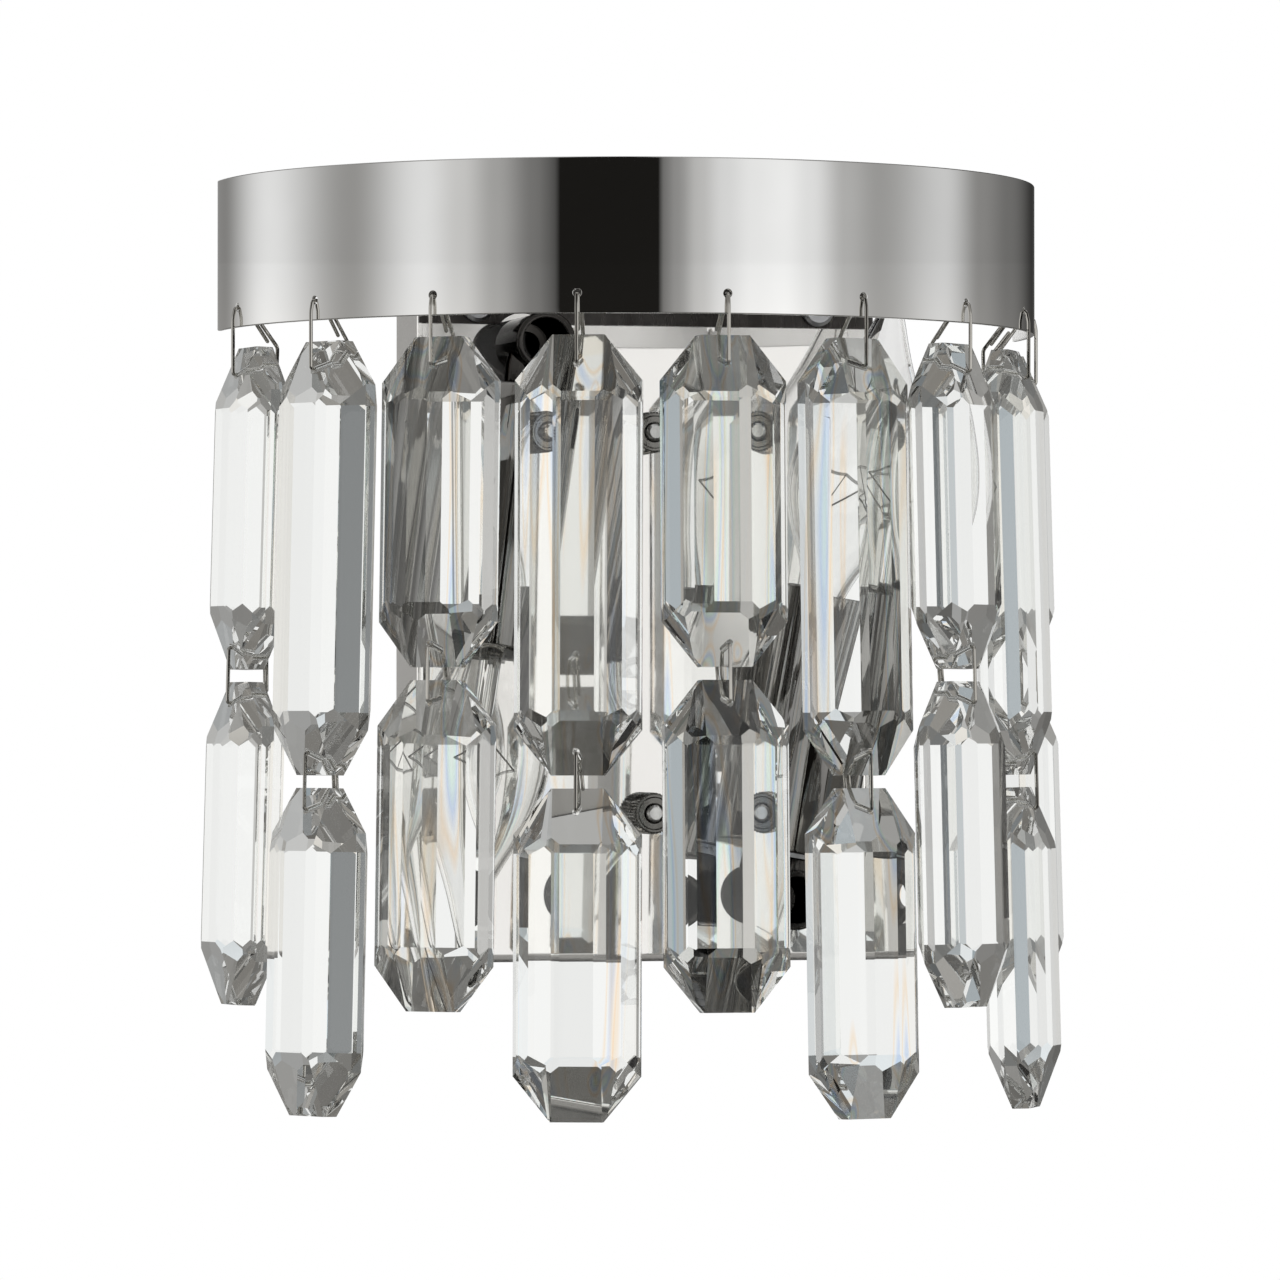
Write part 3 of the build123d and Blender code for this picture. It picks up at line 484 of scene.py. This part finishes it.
def band():
    """Half-round strip with a rounded hole for each string, polished on its outside only.

    The sheet is a grid of angle along the strip by place round its section, bent by
    x = r sin a, y = -r cos a. A square cell round each hole is left out of the grid and
    filled by that hole's rings.
    """
    cell = HOLE_Z - BAND_LOW - BAND_EDGE
    half_cell = cell / BAND_RADIUS
    end = math.pi / 2 - math.asin(BAND_END / BAND_RADIUS)
    holes = (np.arange(STRINGS) - (STRINGS - 1) / 2) * STRING_STEP
    cells = np.stack([holes - half_cell, holes + half_cell], 1)
    marks = np.concatenate([[-end], cells.ravel(), [end]])
    runs = []
    for number, (start, stop) in enumerate(zip(marks, marks[1:])):
        steps = CELL_STEPS if number % 2 else GAP_STEPS
        runs.append(np.linspace(start, stop, steps, endpoint=False))
    angles = np.concatenate(runs + [[end]])
    low, top = BAND_LOW + BAND_EDGE, BAND_TOP - BAND_EDGE
    heights = np.concatenate([
        np.linspace(low, low + 2 * cell, CELL_STEPS, endpoint=False),
        np.linspace(low + 2 * cell, top, RISE_STEPS + 1),
    ])
    radii, levels = band_section(heights, low, top)
    rows, columns = len(levels), len(angles)
    flat = np.stack(np.broadcast_arrays(angles[None], levels[:, None], radii[:, None]), axis=-1)
    keep = np.ones((rows, columns - 1), bool)
    in_cell = np.zeros(columns - 1, bool)
    for number in range(STRINGS):
        first = GAP_STEPS + number * (CELL_STEPS + GAP_STEPS)
        in_cell[first:first + CELL_STEPS] = True
    outside_rows = np.arange(CELL_STEPS)
    inside_rows = outside_rows + len(heights) + 2 * (RIM_STEPS - 1) + RISE_STEPS
    keep[np.ix_(outside_rows, in_cell)] = False
    keep[np.ix_(inside_rows, in_cell)] = False
    quads = grid_faces(rows, columns, True, False).reshape(rows, columns - 1, 4)[keep]
    parts = [(flat.reshape(-1, 3), quads.tolist())]
    points, faces = joined(parts + [band_hole(hole, cell) for hole in holes])
    angle, level, radius = points.T
    points = np.stack([radius * np.sin(angle), -radius * np.cos(angle), level], axis=-1)
    made = mesh_object("band_strip", points, faces)
    weld(made)
    radial_normals(made.data, low, top)
    made.data.materials.append(finishes["band_nickel"])
    made.data.materials.append(finishes["band_inside_nickel"])
    centre = np.empty(3 * len(made.data.polygons))
    made.data.polygons.foreach_get("center", centre)
    reach = np.hypot(*centre.reshape(-1, 3)[:, :2].T)
    inside = reach < BAND_INNER + BAND_EDGE / 2
    made.data.polygons.foreach_set("material_index", inside.astype(int))
    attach(made, "fitting")
    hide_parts("band")


def weld(made):
    """Joins vertices that lie on each other, closes open loops and turns the faces outwards."""
    mesh = bmesh.new()
    mesh.from_mesh(made.data)
    bmesh.ops.remove_doubles(mesh, verts=mesh.verts, dist=0.002 * MM)
    bmesh.ops.holes_fill(mesh, edges=[edge for edge in mesh.edges if edge.is_boundary])
    bmesh.ops.recalc_face_normals(mesh, faces=mesh.faces)
    mesh.to_mesh(made.data)
    mesh.free()


def radial_normals(mesh, low, top):
    """True normals of the bent strip: square to its rounded section, or to the hole's wall."""
    place = np.empty(len(mesh.vertices) * 3)
    mesh.vertices.foreach_get("co", place)
    place = place.reshape(-1, 3)
    corner = np.empty(len(mesh.loops), int)
    mesh.loops.foreach_get("vertex_index", corner)
    kept = np.empty(len(mesh.loops) * 3)
    mesh.corner_normals.foreach_get("vector", kept)
    kept = kept.reshape(-1, 3)
    radius = np.hypot(place[:, 0], place[:, 1])
    outwards = place[:, :2] / radius[:, None]
    aside = radius - np.clip(radius, BAND_INNER + BAND_EDGE, BAND_RADIUS - BAND_EDGE)
    up = place[:, 2] - np.clip(place[:, 2], low, top)
    normals = np.column_stack([outwards * aside[:, None], up])
    length = np.linalg.norm(normals, axis=1)
    on_sheet = (np.abs(length - BAND_EDGE) < 0.02 * MM) & (place[:, 1] < -2 * BAND_END)
    wanted = normals[corner] / np.maximum(length[corner], 1e-9)[:, None]
    wanted = np.where(on_sheet[corner][:, None], wanted, kept)
    mesh.normals_split_custom_set(wanted.tolist())


def sleeve_profile():
    """Cup with a rolled lip at the mouth and a rounded foot, (radius, height)."""
    return rounded([
        (SLEEVE_HOLE, SLEEVE_START),
        (SLEEVE_RADIUS, SLEEVE_START),
        (SLEEVE_RADIUS, SLEEVE_END),
        (SLEEVE_RADIUS - SLEEVE_WALL, SLEEVE_END),
        (SLEEVE_RADIUS - SLEEVE_WALL, SLEEVE_START + SLEEVE_WALL),
        (SLEEVE_HOLE, SLEEVE_START + SLEEVE_WALL),
    ], SLEEVE_BEND)


def elbow_barrel():
    """Open cross tube about Z, its closed end at the plate, and its threaded tail."""
    return turned(rounded([
        (TAIL_BORE, -TAIL_LENGTH),
        (TAIL_RADIUS, -TAIL_LENGTH),
        (TAIL_RADIUS, 0.0),
        (ELBOW_RADIUS, 0.0),
        (ELBOW_RADIUS, ELBOW_REACH - 1.6 * MM),
        (ELBOW_RADIUS + ELBOW_BEAD, ELBOW_REACH - 1.2 * MM),
        (ELBOW_RADIUS + ELBOW_BEAD, ELBOW_REACH),
        (ELBOW_BORE, ELBOW_REACH),
        (ELBOW_BORE, ELBOW_FLOOR),
        (TAIL_BORE, ELBOW_FLOOR),
    ], 0.35 * MM, 3), 80, closed=True)


def elbow_neck(origin, axes):
    """Neck along the lamp's axis. Its foot is a cap of rings that lie inside the wall
    of the cross tube: each point runs along the lamp's axis until it meets the tube's
    middle radius."""
    middle = (ELBOW_RADIUS + ELBOW_BORE) / 2
    foot = np.linspace(0.2, 1, 6) * NECK_RADIUS
    wall = rounded([
        (NECK_RADIUS + 0.3 * MM, 6.4 * MM), (NECK_RADIUS, NECK_END), (0.3 * MM, NECK_END),
    ], 0.4 * MM, 4, False)
    rings = turned_points(np.column_stack([foot, 0 * foot]), 64)
    rings = np.array(origin) + rings @ axes
    away, lamp = rings - np.array(origin), axes[2]
    a = lamp[0] ** 2 + lamp[2] ** 2
    b = away[..., 0] * lamp[0] + away[..., 2] * lamp[2]
    c = away[..., 0] ** 2 + away[..., 2] ** 2 - middle ** 2
    run = (-b + np.sqrt(np.maximum(b * b - a * c, 0))) / a
    foot_rings = rings + run[..., None] * lamp
    wall_rings = np.array(origin) + turned_points(wall, 64) @ axes
    return ring_grid(np.vstack([foot_rings, wall_rings]), low_pole=True, high_pole=True)


def thumb_nut():
    """Nut on the Z axis, seat at Z = 0, with a milled rim.

    The radius is r0 - 2 d |p - round(p)|, where p counts the teeth round the nut, which
    makes straight V teeth of depth d, and both rims are bevelled.
    """
    around, along = 8 * NUT_TEETH, 18
    turn = 2 * np.pi * np.arange(around) / around
    level = np.linspace(0, 1, along)[:, None]
    phase = NUT_TEETH * turn / (2 * np.pi)
    teeth = NUT_RADIUS - TOOTH_DEPTH * 2 * np.abs(phase - np.round(phase))
    rim = np.minimum(level, 1 - level) * NUT_LENGTH
    radius = np.minimum(teeth, NUT_RADIUS - np.maximum(0, NUT_BEVEL - rim))
    skin = np.stack([
        radius * np.cos(turn), radius * np.sin(turn), level * NUT_LENGTH + 0 * turn,
    ], axis=-1)
    face = np.array([
        (4.0 * MM, NUT_LENGTH),
        (3.7 * MM, NUT_LENGTH - 0.25 * MM),
        (2.5 * MM, NUT_LENGTH - 0.25 * MM),
        (2.05 * MM, NUT_LENGTH - 0.6 * MM),
        (2.05 * MM, 0.4 * MM),
        (2.4 * MM, 0.0),
    ])
    inside = turned_points(face, around)
    return ring_grid(np.vstack([skin, inside]), rows_closed=True)


def stud():
    """Threaded stud about Z with a bevelled tip: r = r0 - 2 d |p - round(p)|, where p is
    z / pitch - t / turn."""
    around = 40
    level = np.arange(0, STUD_END + 1e-9, STUD_PITCH / 8)[:, None]
    turn = 2 * np.pi * np.arange(around) / around
    phase = level / STUD_PITCH - turn / (2 * np.pi)
    radius = STUD_RADIUS - STUD_THREAD * 2 * np.abs(phase - np.round(phase))
    radius = np.minimum(radius, STUD_RADIUS - STUD_BEVEL + np.maximum(0, STUD_END - level))
    points = np.stack([radius * np.cos(turn), radius * np.sin(turn), level + 0 * turn], axis=-1)
    return ring_grid(points, low_pole=True, high_pole=True)


# Wires of the strings

def band_hook():
    """Hook from the band's hole through the top of a prism."""
    return wire(rounded(np.array([
        (0.55, 5.0, -3.2),
        (0.3, HOOK_REAR / MM, -9.0),
        (0, HOOK_REAR / MM, -HOOK_HEIGHT / MM),
        (0, -HOOK_BOTTOM / MM, -HOOK_HEIGHT / MM),
        (0, -HOOK_FRONT / MM, -2.6),
        (0, -1.2, -0.35),
        (0, -0.6, 0.05),
        (0, 1.6, 0),
        (-0.55, 7.5, -7.6),
    ]) * MM, WIRE_BEND, 6, False), WIRE_RADIUS)


def prism_link():
    """Link between two prisms, its top run at the origin."""
    leg, height = LINK_LEG / MM, LINK_HEIGHT / MM
    return wire(rounded(np.array([
        (0.8, leg, -0.75 * height),
        (0, leg, 0),
        (0, -leg, 0),
        (0, -leg, -height),
        (0, leg, -height),
        (-0.8, leg, -0.25 * height),
    ]) * MM, WIRE_BEND, 6, False), WIRE_RADIUS)


# Bulbs, along the lamp's axis

def candle_profile(skin):
    """Outline of the candle glass, moved inwards by `skin`: (radius, height)."""
    return spline(np.array([
        (9.0 - skin, 68.5),
        (9.3 - skin, 73.0),
        (11.2 - skin, 80.5),
        (15.3 - skin, 89.5),
        (17.4 - skin, 98.5),
        (16.6 - skin, 107.5),
        (13.6 - skin, 116.5),
        (9.9 - skin, 124.5),
        (6.3 - skin, 133.0),
        (3.6 - 0.9 * skin, 140.5),
        (2.1 - 0.7 * skin, 144.6 - 0.3 * skin),
        (0.9 - 0.3 * skin, 146.2 - 0.8 * skin),
    ]) * MM, 6)


def bulb_glass():
    """Clear candle glass with a wall; both skins meet at the open neck."""
    sides = 96
    outer = turned_points(candle_profile(0.0), sides)
    inner = turned_points(candle_profile(GLASS_WALL / MM), sides)
    skins = np.vstack([outer[::-1], inner])
    return ring_grid(skins, low_pole=True, high_pole=True, flip=True)


def glass_stem():
    """Glass stem: flare at the neck, thin waist and the button that holds the wires."""
    return turned(spline(np.array([
        (7.4, 68.5), (6.2, 69.6), (3.6, 72.4), (2.7, 76.5), (2.6, 88.0), (2.3, 91.2),
        (1.1, 93.0), (1.7, 94.0), (2.4, 95.2), (2.2, 96.4), (0.6, 97.0),
    ]) * MM, 5), 40)


def filament_wires():
    """Leads, support wires with small loops, and the coiled filament between their tips."""
    parts = []
    share = np.linspace(-1, 1, 5)
    tips = np.column_stack([share * 9.5, 0 * share, 104.5 - 3.0 * share ** 2]) * MM
    for number, tip in enumerate(tips):
        foot = np.array([tip[0] / 8, 0.0, 94.5 * MM])
        knee = np.array([tip[0] * 0.45, 0.0, 97.0 * MM])
        route = spline([foot, knee, tip], 8)
        thick = 0.22 * MM if number in (0, 4) else 0.13 * MM
        parts.append(wire(route, thick, 8, (0.0, 1.0, 0.0)))
    count, turns, coil = 900, 64, 0.32 * MM
    t = np.linspace(0, 1, count)
    reach = t * (len(tips) - 1)
    axis = np.column_stack([np.interp(reach, range(5), tips[:, k]) for k in range(3)])
    sag = -0.35 * MM * np.sin(np.pi * (reach % 1.0))
    spin = 2 * np.pi * turns * t
    helix = axis + np.column_stack([0 * t, coil * np.cos(spin), coil * np.sin(spin) + sag])
    parts.append(wire(helix, 0.07 * MM, 5, (1.0, 0.0, 0.0)))
    return joined(parts)


def bulb_cap():
    """Screw cap: r = r0 - d (1 - cos(2 pi (h / pitch - t / turn))) / 2 on the rolled
    thread, then the black insulator's cone and the contact."""
    around = 96
    low, top = CAP_THREAD
    level = np.linspace(low, top, 60)[:, None]
    turn = 2 * np.pi * np.arange(around) / around
    phase = level / CAP_PITCH - turn / (2 * np.pi)
    fade = np.clip(np.minimum(level - low, top - level) / (1.2 * MM), 0, 1)
    radius = CAP_RADIUS - fade * CAP_DEPTH * (1 - np.cos(2 * np.pi * phase)) / 2
    thread = np.stack([radius * np.cos(turn), radius * np.sin(turn), level + 0 * turn], axis=-1)
    foot = turned_points(np.array([(2.4, 43.2), (2.5, 43.8), (6.15, 47.2)]) * MM, around)
    skirt = turned_points(spline(np.array([
        (6.95, 64.2), (7.3, 65.2), (8.2, 67.2), (8.5, 69.6), (8.35, 70.4),
    ]) * MM, 4), around)
    return ring_grid(np.vstack([foot, thread, skirt]), low_pole=True, high_pole=True)


# Studio

LIGHT_BOUNCES = 32  # light turns many times inside a cut prism before it leaves
FLOOR_LEVEL = -0.40
FLOOR_HALF = 0.75
CAMERA_PLACE = (-0.4494, -1.7930, -0.0304)
CAMERA_LIFT = 0.828  # degrees above the level
CAMERA_TURN = -14.206  # degrees to the right of straight in
LENS = 214.3  # mm, as the sensor
SENSOR = 36.0
# Place, aim, size in metres and power in watts
SOFT_BOXES = {
    "left_soft_box": ((-1.6, -1.6, 0.8), (0, -0.05, 0), 1.4, 14.0),
    "right_soft_box": ((1.5, -1.9, 0.5), (0, -0.05, 0), 1.4, 12.0),
    "top_soft_box": ((0.0, -0.6, 1.8), (0, -0.05, 0), 1.6, 16.0),
    "rear_soft_box": ((0.0, 1.0, 1.3), (0, -0.1, 0.09), 1.4, 16.0),
}
# What metal shows of the studio: azimuth in degrees from the room (0) towards +X,
# display grey, warmth
METAL_ROUND = [
    (-180, 0.62, 0.02),
    (-160, 0.54, 0.04),
    (-129, 0.94, 0.0),
    (-94, 0.62, 0.04),
    (-70, 0.93, 0.0),
    (-59, 0.83, 0.02),
    (-49, 0.68, 0.03),
    (-38, 0.48, 0.04),
    (-32.5, 0.37, 0.04),
    (-32.0, 0.11, 0.16),
    (-3.9, 0.11, 0.16),
    (-3.4, 0.46, 0.04),
    (1, 0.60, 0.03),
    (7, 0.78, 0.02),
    (14, 0.90, 0.0),
    (22, 0.97, 0.0),
    (31, 0.99, 0.0),
    (39, 0.93, 0.0),
    (50, 0.73, 0.02),
    (61, 0.65, 0.03),
    (86, 0.84, 0.0),
    (104, 0.56, 0.04),
    (122, 0.46, 0.04),
    (150, 0.22, 0.05),
    (180, 0.62, 0.02),
]
# Sine of the height angle, display grey that multiplies the round, warmth
METAL_RISE = [
    (-1.0, 0.5, 0.06),
    (-0.35, 0.6, 0.06),
    (-0.12, 1.05, 0.02),
    (0.054, 1.05, 0.02),
    (0.057, 1.0, 0.0),
    (0.2, 1.0, 0.0),
    (0.45, 0.7, 0.05),
    (1.0, 0.95, 0.0),
]
HORIZON = 0.0637  # sine of the height angle where the walls start, a little darker
WALLS = 0.94
# What cut glass shows above and below the white studio: azimuth, grey, warmth, where
# a warmth below zero is blue, because cut edges split the light
GLASS_ROUND = [
    (-180, 0.66, 0.05),
    (-165, 0.58, 0.06),
    (-140, 0.52, 0.06),
    (-122, 0.58, 0.06),
    (-112, 0.62, -0.10),
    (-100, 0.66, 0.06),
    (-78, 0.58, 0.06),
    (-55, 0.50, 0.08),
    (-30, 0.44, 0.06),
    (-22, 0.52, -0.12),
    (0, 0.42, 0.08),
    (25, 0.46, 0.06),
    (50, 0.56, 0.10),
    (58, 0.52, -0.12),
    (75, 0.54, 0.06),
    (95, 0.44, 0.06),
    (112, 0.56, 0.08),
    (128, 0.76, 0.03),
    (150, 0.80, 0.0),
    (168, 0.76, 0.03),
    (180, 0.66, 0.05),
]
GLASS_RISE = [
    (-1.0, 0.82, 0.0),
    (-0.78, 0.90, 0.08),
    (-0.60, 0.84, -0.05),
    (-0.45, 0.92, 0.0),
    (-0.25, 1.0, 0.0),
    (0.22, 0.80, 0.0),
    (0.45, 0.76, 0.04),
    (0.60, 0.86, -0.05),
    (0.80, 0.90, 0.06),
    (1.0, 0.80, 0.0),
]
# The white studio all round at the fitting's height, with its narrow dark gaps
BELT_ROUND = [
    (-180, 0.97, 0.0),
    (-111, 0.95, 0.08),
    (-108, 0.45, 0.08),
    (-105, 0.70, 0.04),
    (-102.5, 0.80, 0.03),
    (-99, 0.62, 0.06),
    (-95, 0.94, 0.0),
    (-84, 0.99, 0.0),
    (-79, 0.52, 0.05),
    (-74, 0.97, 0.0),
    (-38, 0.99, 0.0),
    (-27, 0.90, 0.0),
    (-20, 0.50, 0.10),
    (-14, 0.84, 0.0),
    (-6, 0.36, 0.08),
    (2, 0.60, 0.05),
    (9, 0.94, 0.0),
    (44, 0.99, 0.0),
    (49, 0.55, 0.20),
    (57, 0.93, 0.0),
    (63, 0.36, 0.10),
    (67, 0.62, -0.25),
    (98, 0.98, 0.0),
    (103, 0.42, 0.04),
    (107, 0.72, 0.10),
    (111, 0.42, -0.05),
    (113.5, 0.62, -0.30),
    (118, 0.96, -0.04),
    (126, 1.0, 0.0),
    (147, 0.965, 0.0),
    (157, 0.93, 0.0),
    (180, 0.97, 0.0),
]
BELT_RISE = [
    (-0.23, 0.0, 0.0),
    (-0.19, 1.0, 0.10),
    (-0.16, 1.0, 0.0),
    (0.16, 1.0, 0.0),
    (0.19, 1.0, -0.08),
    (0.23, 0.0, 0.0),
]


def linear(grey):
    """Scene-linear level of a display grey."""
    return ((grey + 0.055) / 1.055) ** 2.4


def world_math(tree, operation, *values):
    """Math node on numbers and sockets; returns its output."""
    node = tree.nodes.new("ShaderNodeMath")
    node.operation = operation
    for socket, value in zip(node.inputs, values):
        if isinstance(value, (int, float)):
            socket.default_value = value
        else:
            tree.links.new(value, socket)
    return node.outputs[0]


def tone_ramp(tree, value, stops):
    """Greys with a warmth at places between 0 and 1, eased between the stops: warmth
    takes away blue, and a warmth below zero takes away red."""
    node = tree.nodes.new("ShaderNodeValToRGB")
    node.color_ramp.interpolation = "EASE"
    elements = node.color_ramp.elements
    while len(elements) < len(stops):
        elements.new(1.0)
    for element, (place, grey, warm) in zip(elements, stops):
        level = linear(grey)
        element.position = place
        red, blue = 1 + min(warm, 0), 1 - max(warm, 0)
        element.color = (level * red, level * (1 - 0.4 * abs(warm)), level * blue, 1.0)
    tree.links.new(value, node.inputs["Fac"])
    return node.outputs["Color"]


def blended(tree, factor, first, second, kind="MIX"):
    """Mix node on colours; returns its output."""
    node = tree.nodes.new("ShaderNodeMix")
    node.data_type = "RGBA"
    node.blend_type = kind
    for socket, value in (("Factor", factor), ("A", first), ("B", second)):
        if isinstance(value, (int, float, tuple)):
            node.inputs[socket].default_value = value
        else:
            tree.links.new(value, node.inputs[socket])
    return node.outputs["Result"]


def studio_world():
    """White to the camera, soft white on matt surfaces, and a round of soft boxes and
    black cards that metal and glass show."""
    world = bpy.data.worlds.new("studio")
    bpy.context.scene.world = world
    world.use_nodes = True
    tree = world.node_tree
    tree.nodes.clear()
    direction = tree.nodes.new("ShaderNodeTexCoord").outputs["Generated"]
    axes = tree.nodes.new("ShaderNodeSeparateXYZ")
    tree.links.new(direction, axes.inputs["Vector"])
    x, y, z = axes.outputs
    azimuth = world_math(tree, "ARCTAN2", x, world_math(tree, "MULTIPLY", y, -1.0))
    around = world_math(tree, "MULTIPLY_ADD", azimuth, 0.5 / math.pi, 0.5)
    rise = world_math(tree, "MULTIPLY_ADD", z, 0.5, 0.5)

    def surroundings(round_stops, rise_stops):
        """Tones by azimuth times tones by height."""
        round_stops = [(0.5 + degrees / 360, *tone) for degrees, *tone in round_stops]
        rise_stops = [(0.5 + sine / 2, *tone) for sine, *tone in rise_stops]
        by_azimuth = tone_ramp(tree, around, round_stops)
        by_height = tone_ramp(tree, rise, rise_stops)
        return blended(tree, 1.0, by_azimuth, by_height, "MULTIPLY")

    ends, belt = surroundings(GLASS_ROUND, GLASS_RISE), surroundings(BELT_ROUND, BELT_RISE)
    through = blended(tree, 1.0, ends, belt, "LIGHTEN")
    above = world_math(tree, "GREATER_THAN", z, HORIZON)
    walls = world_math(tree, "MULTIPLY_ADD", above, WALLS - 1, 1.0)
    mirrored = blended(tree, 1.0, surroundings(METAL_ROUND, METAL_RISE), walls, "MULTIPLY")
    path = tree.nodes.new("ShaderNodeLightPath")
    seen = blended(tree, path.outputs["Is Glossy Ray"], (0.8, 0.8, 0.8, 1.0), mirrored)
    seen = blended(tree, path.outputs["Is Transmission Ray"], seen, through)
    seen = blended(tree, path.outputs["Is Camera Ray"], seen, (1.0, 1.0, 1.0, 1.0))
    background = tree.nodes.new("ShaderNodeBackground")
    output = tree.nodes.new("ShaderNodeOutputWorld")
    tree.links.new(seen, background.inputs["Color"])
    tree.links.new(background.outputs["Background"], output.inputs["Surface"])


def soft_box(name, place, aim, size, power):
    """Square lamp of soft light, seen by no reflection."""
    lamp = bpy.data.lights.new(name, "AREA")
    lamp.shape = "SQUARE"
    lamp.size = size
    lamp.energy = power
    made = bpy.data.objects.new(name, lamp)
    bpy.context.collection.objects.link(made)
    made.location = place
    towards = np.array(aim) - np.array(place)
    flat = math.hypot(towards[0], towards[1])
    made.rotation_euler = (
        math.atan2(flat, -towards[2]), 0.0, math.atan2(towards[1], towards[0]) - math.pi / 2,
    )
    made.visible_glossy = False
    made.visible_transmission = False
    made.visible_camera = False


def floor():
    """Plain pale floor below the fitting."""
    corners = np.array([(-1, -1), (1, -1), (1, 1), (-1, 1)]) * FLOOR_HALF
    corners = np.column_stack([corners, np.full(len(corners), FLOOR_LEVEL)])
    made = mesh_object("studio_floor", corners, [[0, 1, 2, 3]])
    tree, shader = new_material("pale_floor")
    shader.inputs["Roughness"].default_value = 0.8
    cloud = tones(tree, noise(tree, 3.0), (0.80, 0.80, 0.79), (0.84, 0.84, 0.83))
    tree.links.new(cloud, shader.inputs["Base Color"])
    made.data.materials.append(finishes["pale_floor"])
    made.visible_glossy = False
    made.visible_transmission = False


def camera():
    """Long lens at the photograph's angle, a little to the left and looking slightly up."""
    lens = bpy.data.cameras.new("camera")
    lens.sensor_width = SENSOR
    lens.lens = LENS
    made = bpy.data.objects.new("camera", lens)
    bpy.context.collection.objects.link(made)
    made.location = CAMERA_PLACE
    made.rotation_euler = (math.radians(90 + CAMERA_LIFT), 0.0, math.radians(CAMERA_TURN))
    lens.clip_start, lens.clip_end = 0.1, 20.0
    bpy.context.scene.camera = made


# Assembly

# Axes of a piece that points into the room: its X, Y and Z
FORWARDS = np.array([(1, 0, 0), (0, 0, 1), (0, -1, 0)], float)
NODE_FINISHES = {
    "back_plate": "plate_nickel",
    "band_bracket": "bracket_steel",
    "bracket_fasteners": "zinc_steel",
    "wall_strap": "zinc_steel",
    "terminal_block": "terminal_plastic",
    "elbow_lock_nuts": "zinc_steel",
    "lamp_nipples": "zinc_steel",
    "lamp_sockets": "socket_plastic",
    "socket_contacts": "contact_brass",
}


def unit(vector):
    """The vector made one long."""
    return np.array(vector) / np.linalg.norm(vector)


def dress_nodes():
    """Finishes of the CAD nodes that show as they are."""
    wanted = dict(NODE_FINISHES)
    for number in range(1, STRINGS + 1):
        # These strings' prisms get the glass with painted colour fringes.
        glass = "crystal_painted_fire" if number in PAINTED_FIRE_STRINGS else "crystal"
        wanted[f"upper_prism_{number}"] = wanted[f"lower_prism_{number}"] = glass
    for node, finish in wanted.items():
        materials = frame["nodes"][node].data.materials
        materials.clear()
        materials.append(finishes[finish])


def dress_studs():
    """The two studs of the strap and their thumb nuts."""
    studs = [placed(stud(), (0, 0, side * STUD_Z), FORWARDS) for side in (-1, 1)]
    piece("strap_stud_threads", joined(studs), "fitting", ["strap_studs"], "stud_steel", 20)
    for side, end in ((1, "top"), (-1, "bottom")):
        seat = (0, PLATE_FACE - NUT_FIT, side * STUD_Z)
        piece(f"thumb_nut_{end}_knurled", placed(thumb_nut(), seat, FORWARDS),
              f"thumb_nut_{end}", [f"thumb_nut_{end}"], "thumb_nut_nickel", 25)


def dress_lamp(side, sense):
    """Elbow, sleeve and bulb of one side; `sense` is 1 on the right and -1 on the left."""
    up = unit(joints[f"bulb_{side}_out"]["axis"])
    aside = unit((up[2], 0, -up[0]))
    axes = np.array([aside, np.cross(up, aside), up])
    origin = np.array([sense * ELBOW_X, PLATE_FACE - NECK_RISE, -sense * ELBOW_Z])
    foot = np.array([sense * ELBOW_X, PLATE_FACE, -sense * ELBOW_Z])
    elbow = joined([placed(elbow_barrel(), foot, FORWARDS), elbow_neck(origin, axes)])
    cup = turned(sleeve_profile(), 128, closed=True)
    bulb = f"bulb_{side}"
    # The elbow and sleeve finishes carry painted dark reflection.
    piece(f"elbow_{side}_smooth", elbow, "fitting", [f"elbow_{side}"], "lamp_nickel")
    piece(f"lamp_sleeve_{side}_smooth", placed(cup, origin, axes), "fitting",
          [f"lamp_sleeve_{side}"], "sleeve_nickel")
    piece(f"bulb_{side}_candle", placed(bulb_glass(), origin, axes), bulb,
          [f"bulb_glass_{side}"], "bulb_glass", 60)
    piece(f"bulb_{side}_cap", placed(bulb_cap(), origin, axes), bulb,
          [f"bulb_cap_{side}"], "cap_nickel")
    piece(f"bulb_{side}_stem", placed(glass_stem(), origin, axes), bulb, [], "bulb_glass", 60)
    piece(f"bulb_{side}_filament", placed(filament_wires(), origin, axes), bulb,
          [f"filament_mount_{side}"], "filament_wire")


def dress_string(number):
    """Hook and link of one string, each at its own hinge."""
    swing, sway = joints[f"string_{number}_swing"], joints[f"lower_{number}_sway"]
    aside = -unit(swing["axis"])
    inwards = -unit(sway["axis"])
    axes = np.array([aside, inwards, np.cross(aside, inwards)])
    piece(f"band_hook_{number}_wire", placed(band_hook(), swing["pos_m"], axes),
          f"upper_crystal_{number}", [f"band_hook_{number}"], "hook_wire")
    piece(f"prism_link_{number}_wire", placed(prism_link(), sway["pos_m"], axes),
          f"lower_crystal_{number}", [f"prism_link_{number}"], "hook_wire")


def set_stage():
    """Floor, surroundings, soft boxes, view settings and camera."""
    floor()
    studio_world()
    for name, setting in SOFT_BOXES.items():
        soft_box(name, *setting)
    bpy.context.scene.view_settings.view_transform = "Standard"
    paths = bpy.context.scene.cycles
    paths.max_bounces = paths.glossy_bounces = paths.transmission_bounces = LIGHT_BOUNCES
    camera()


make_finishes()
dress_nodes()
band()
dress_studs()
dress_lamp("right", 1)
dress_lamp("left", -1)
for number in range(1, STRINGS + 1):
    dress_string(number)
set_stage()
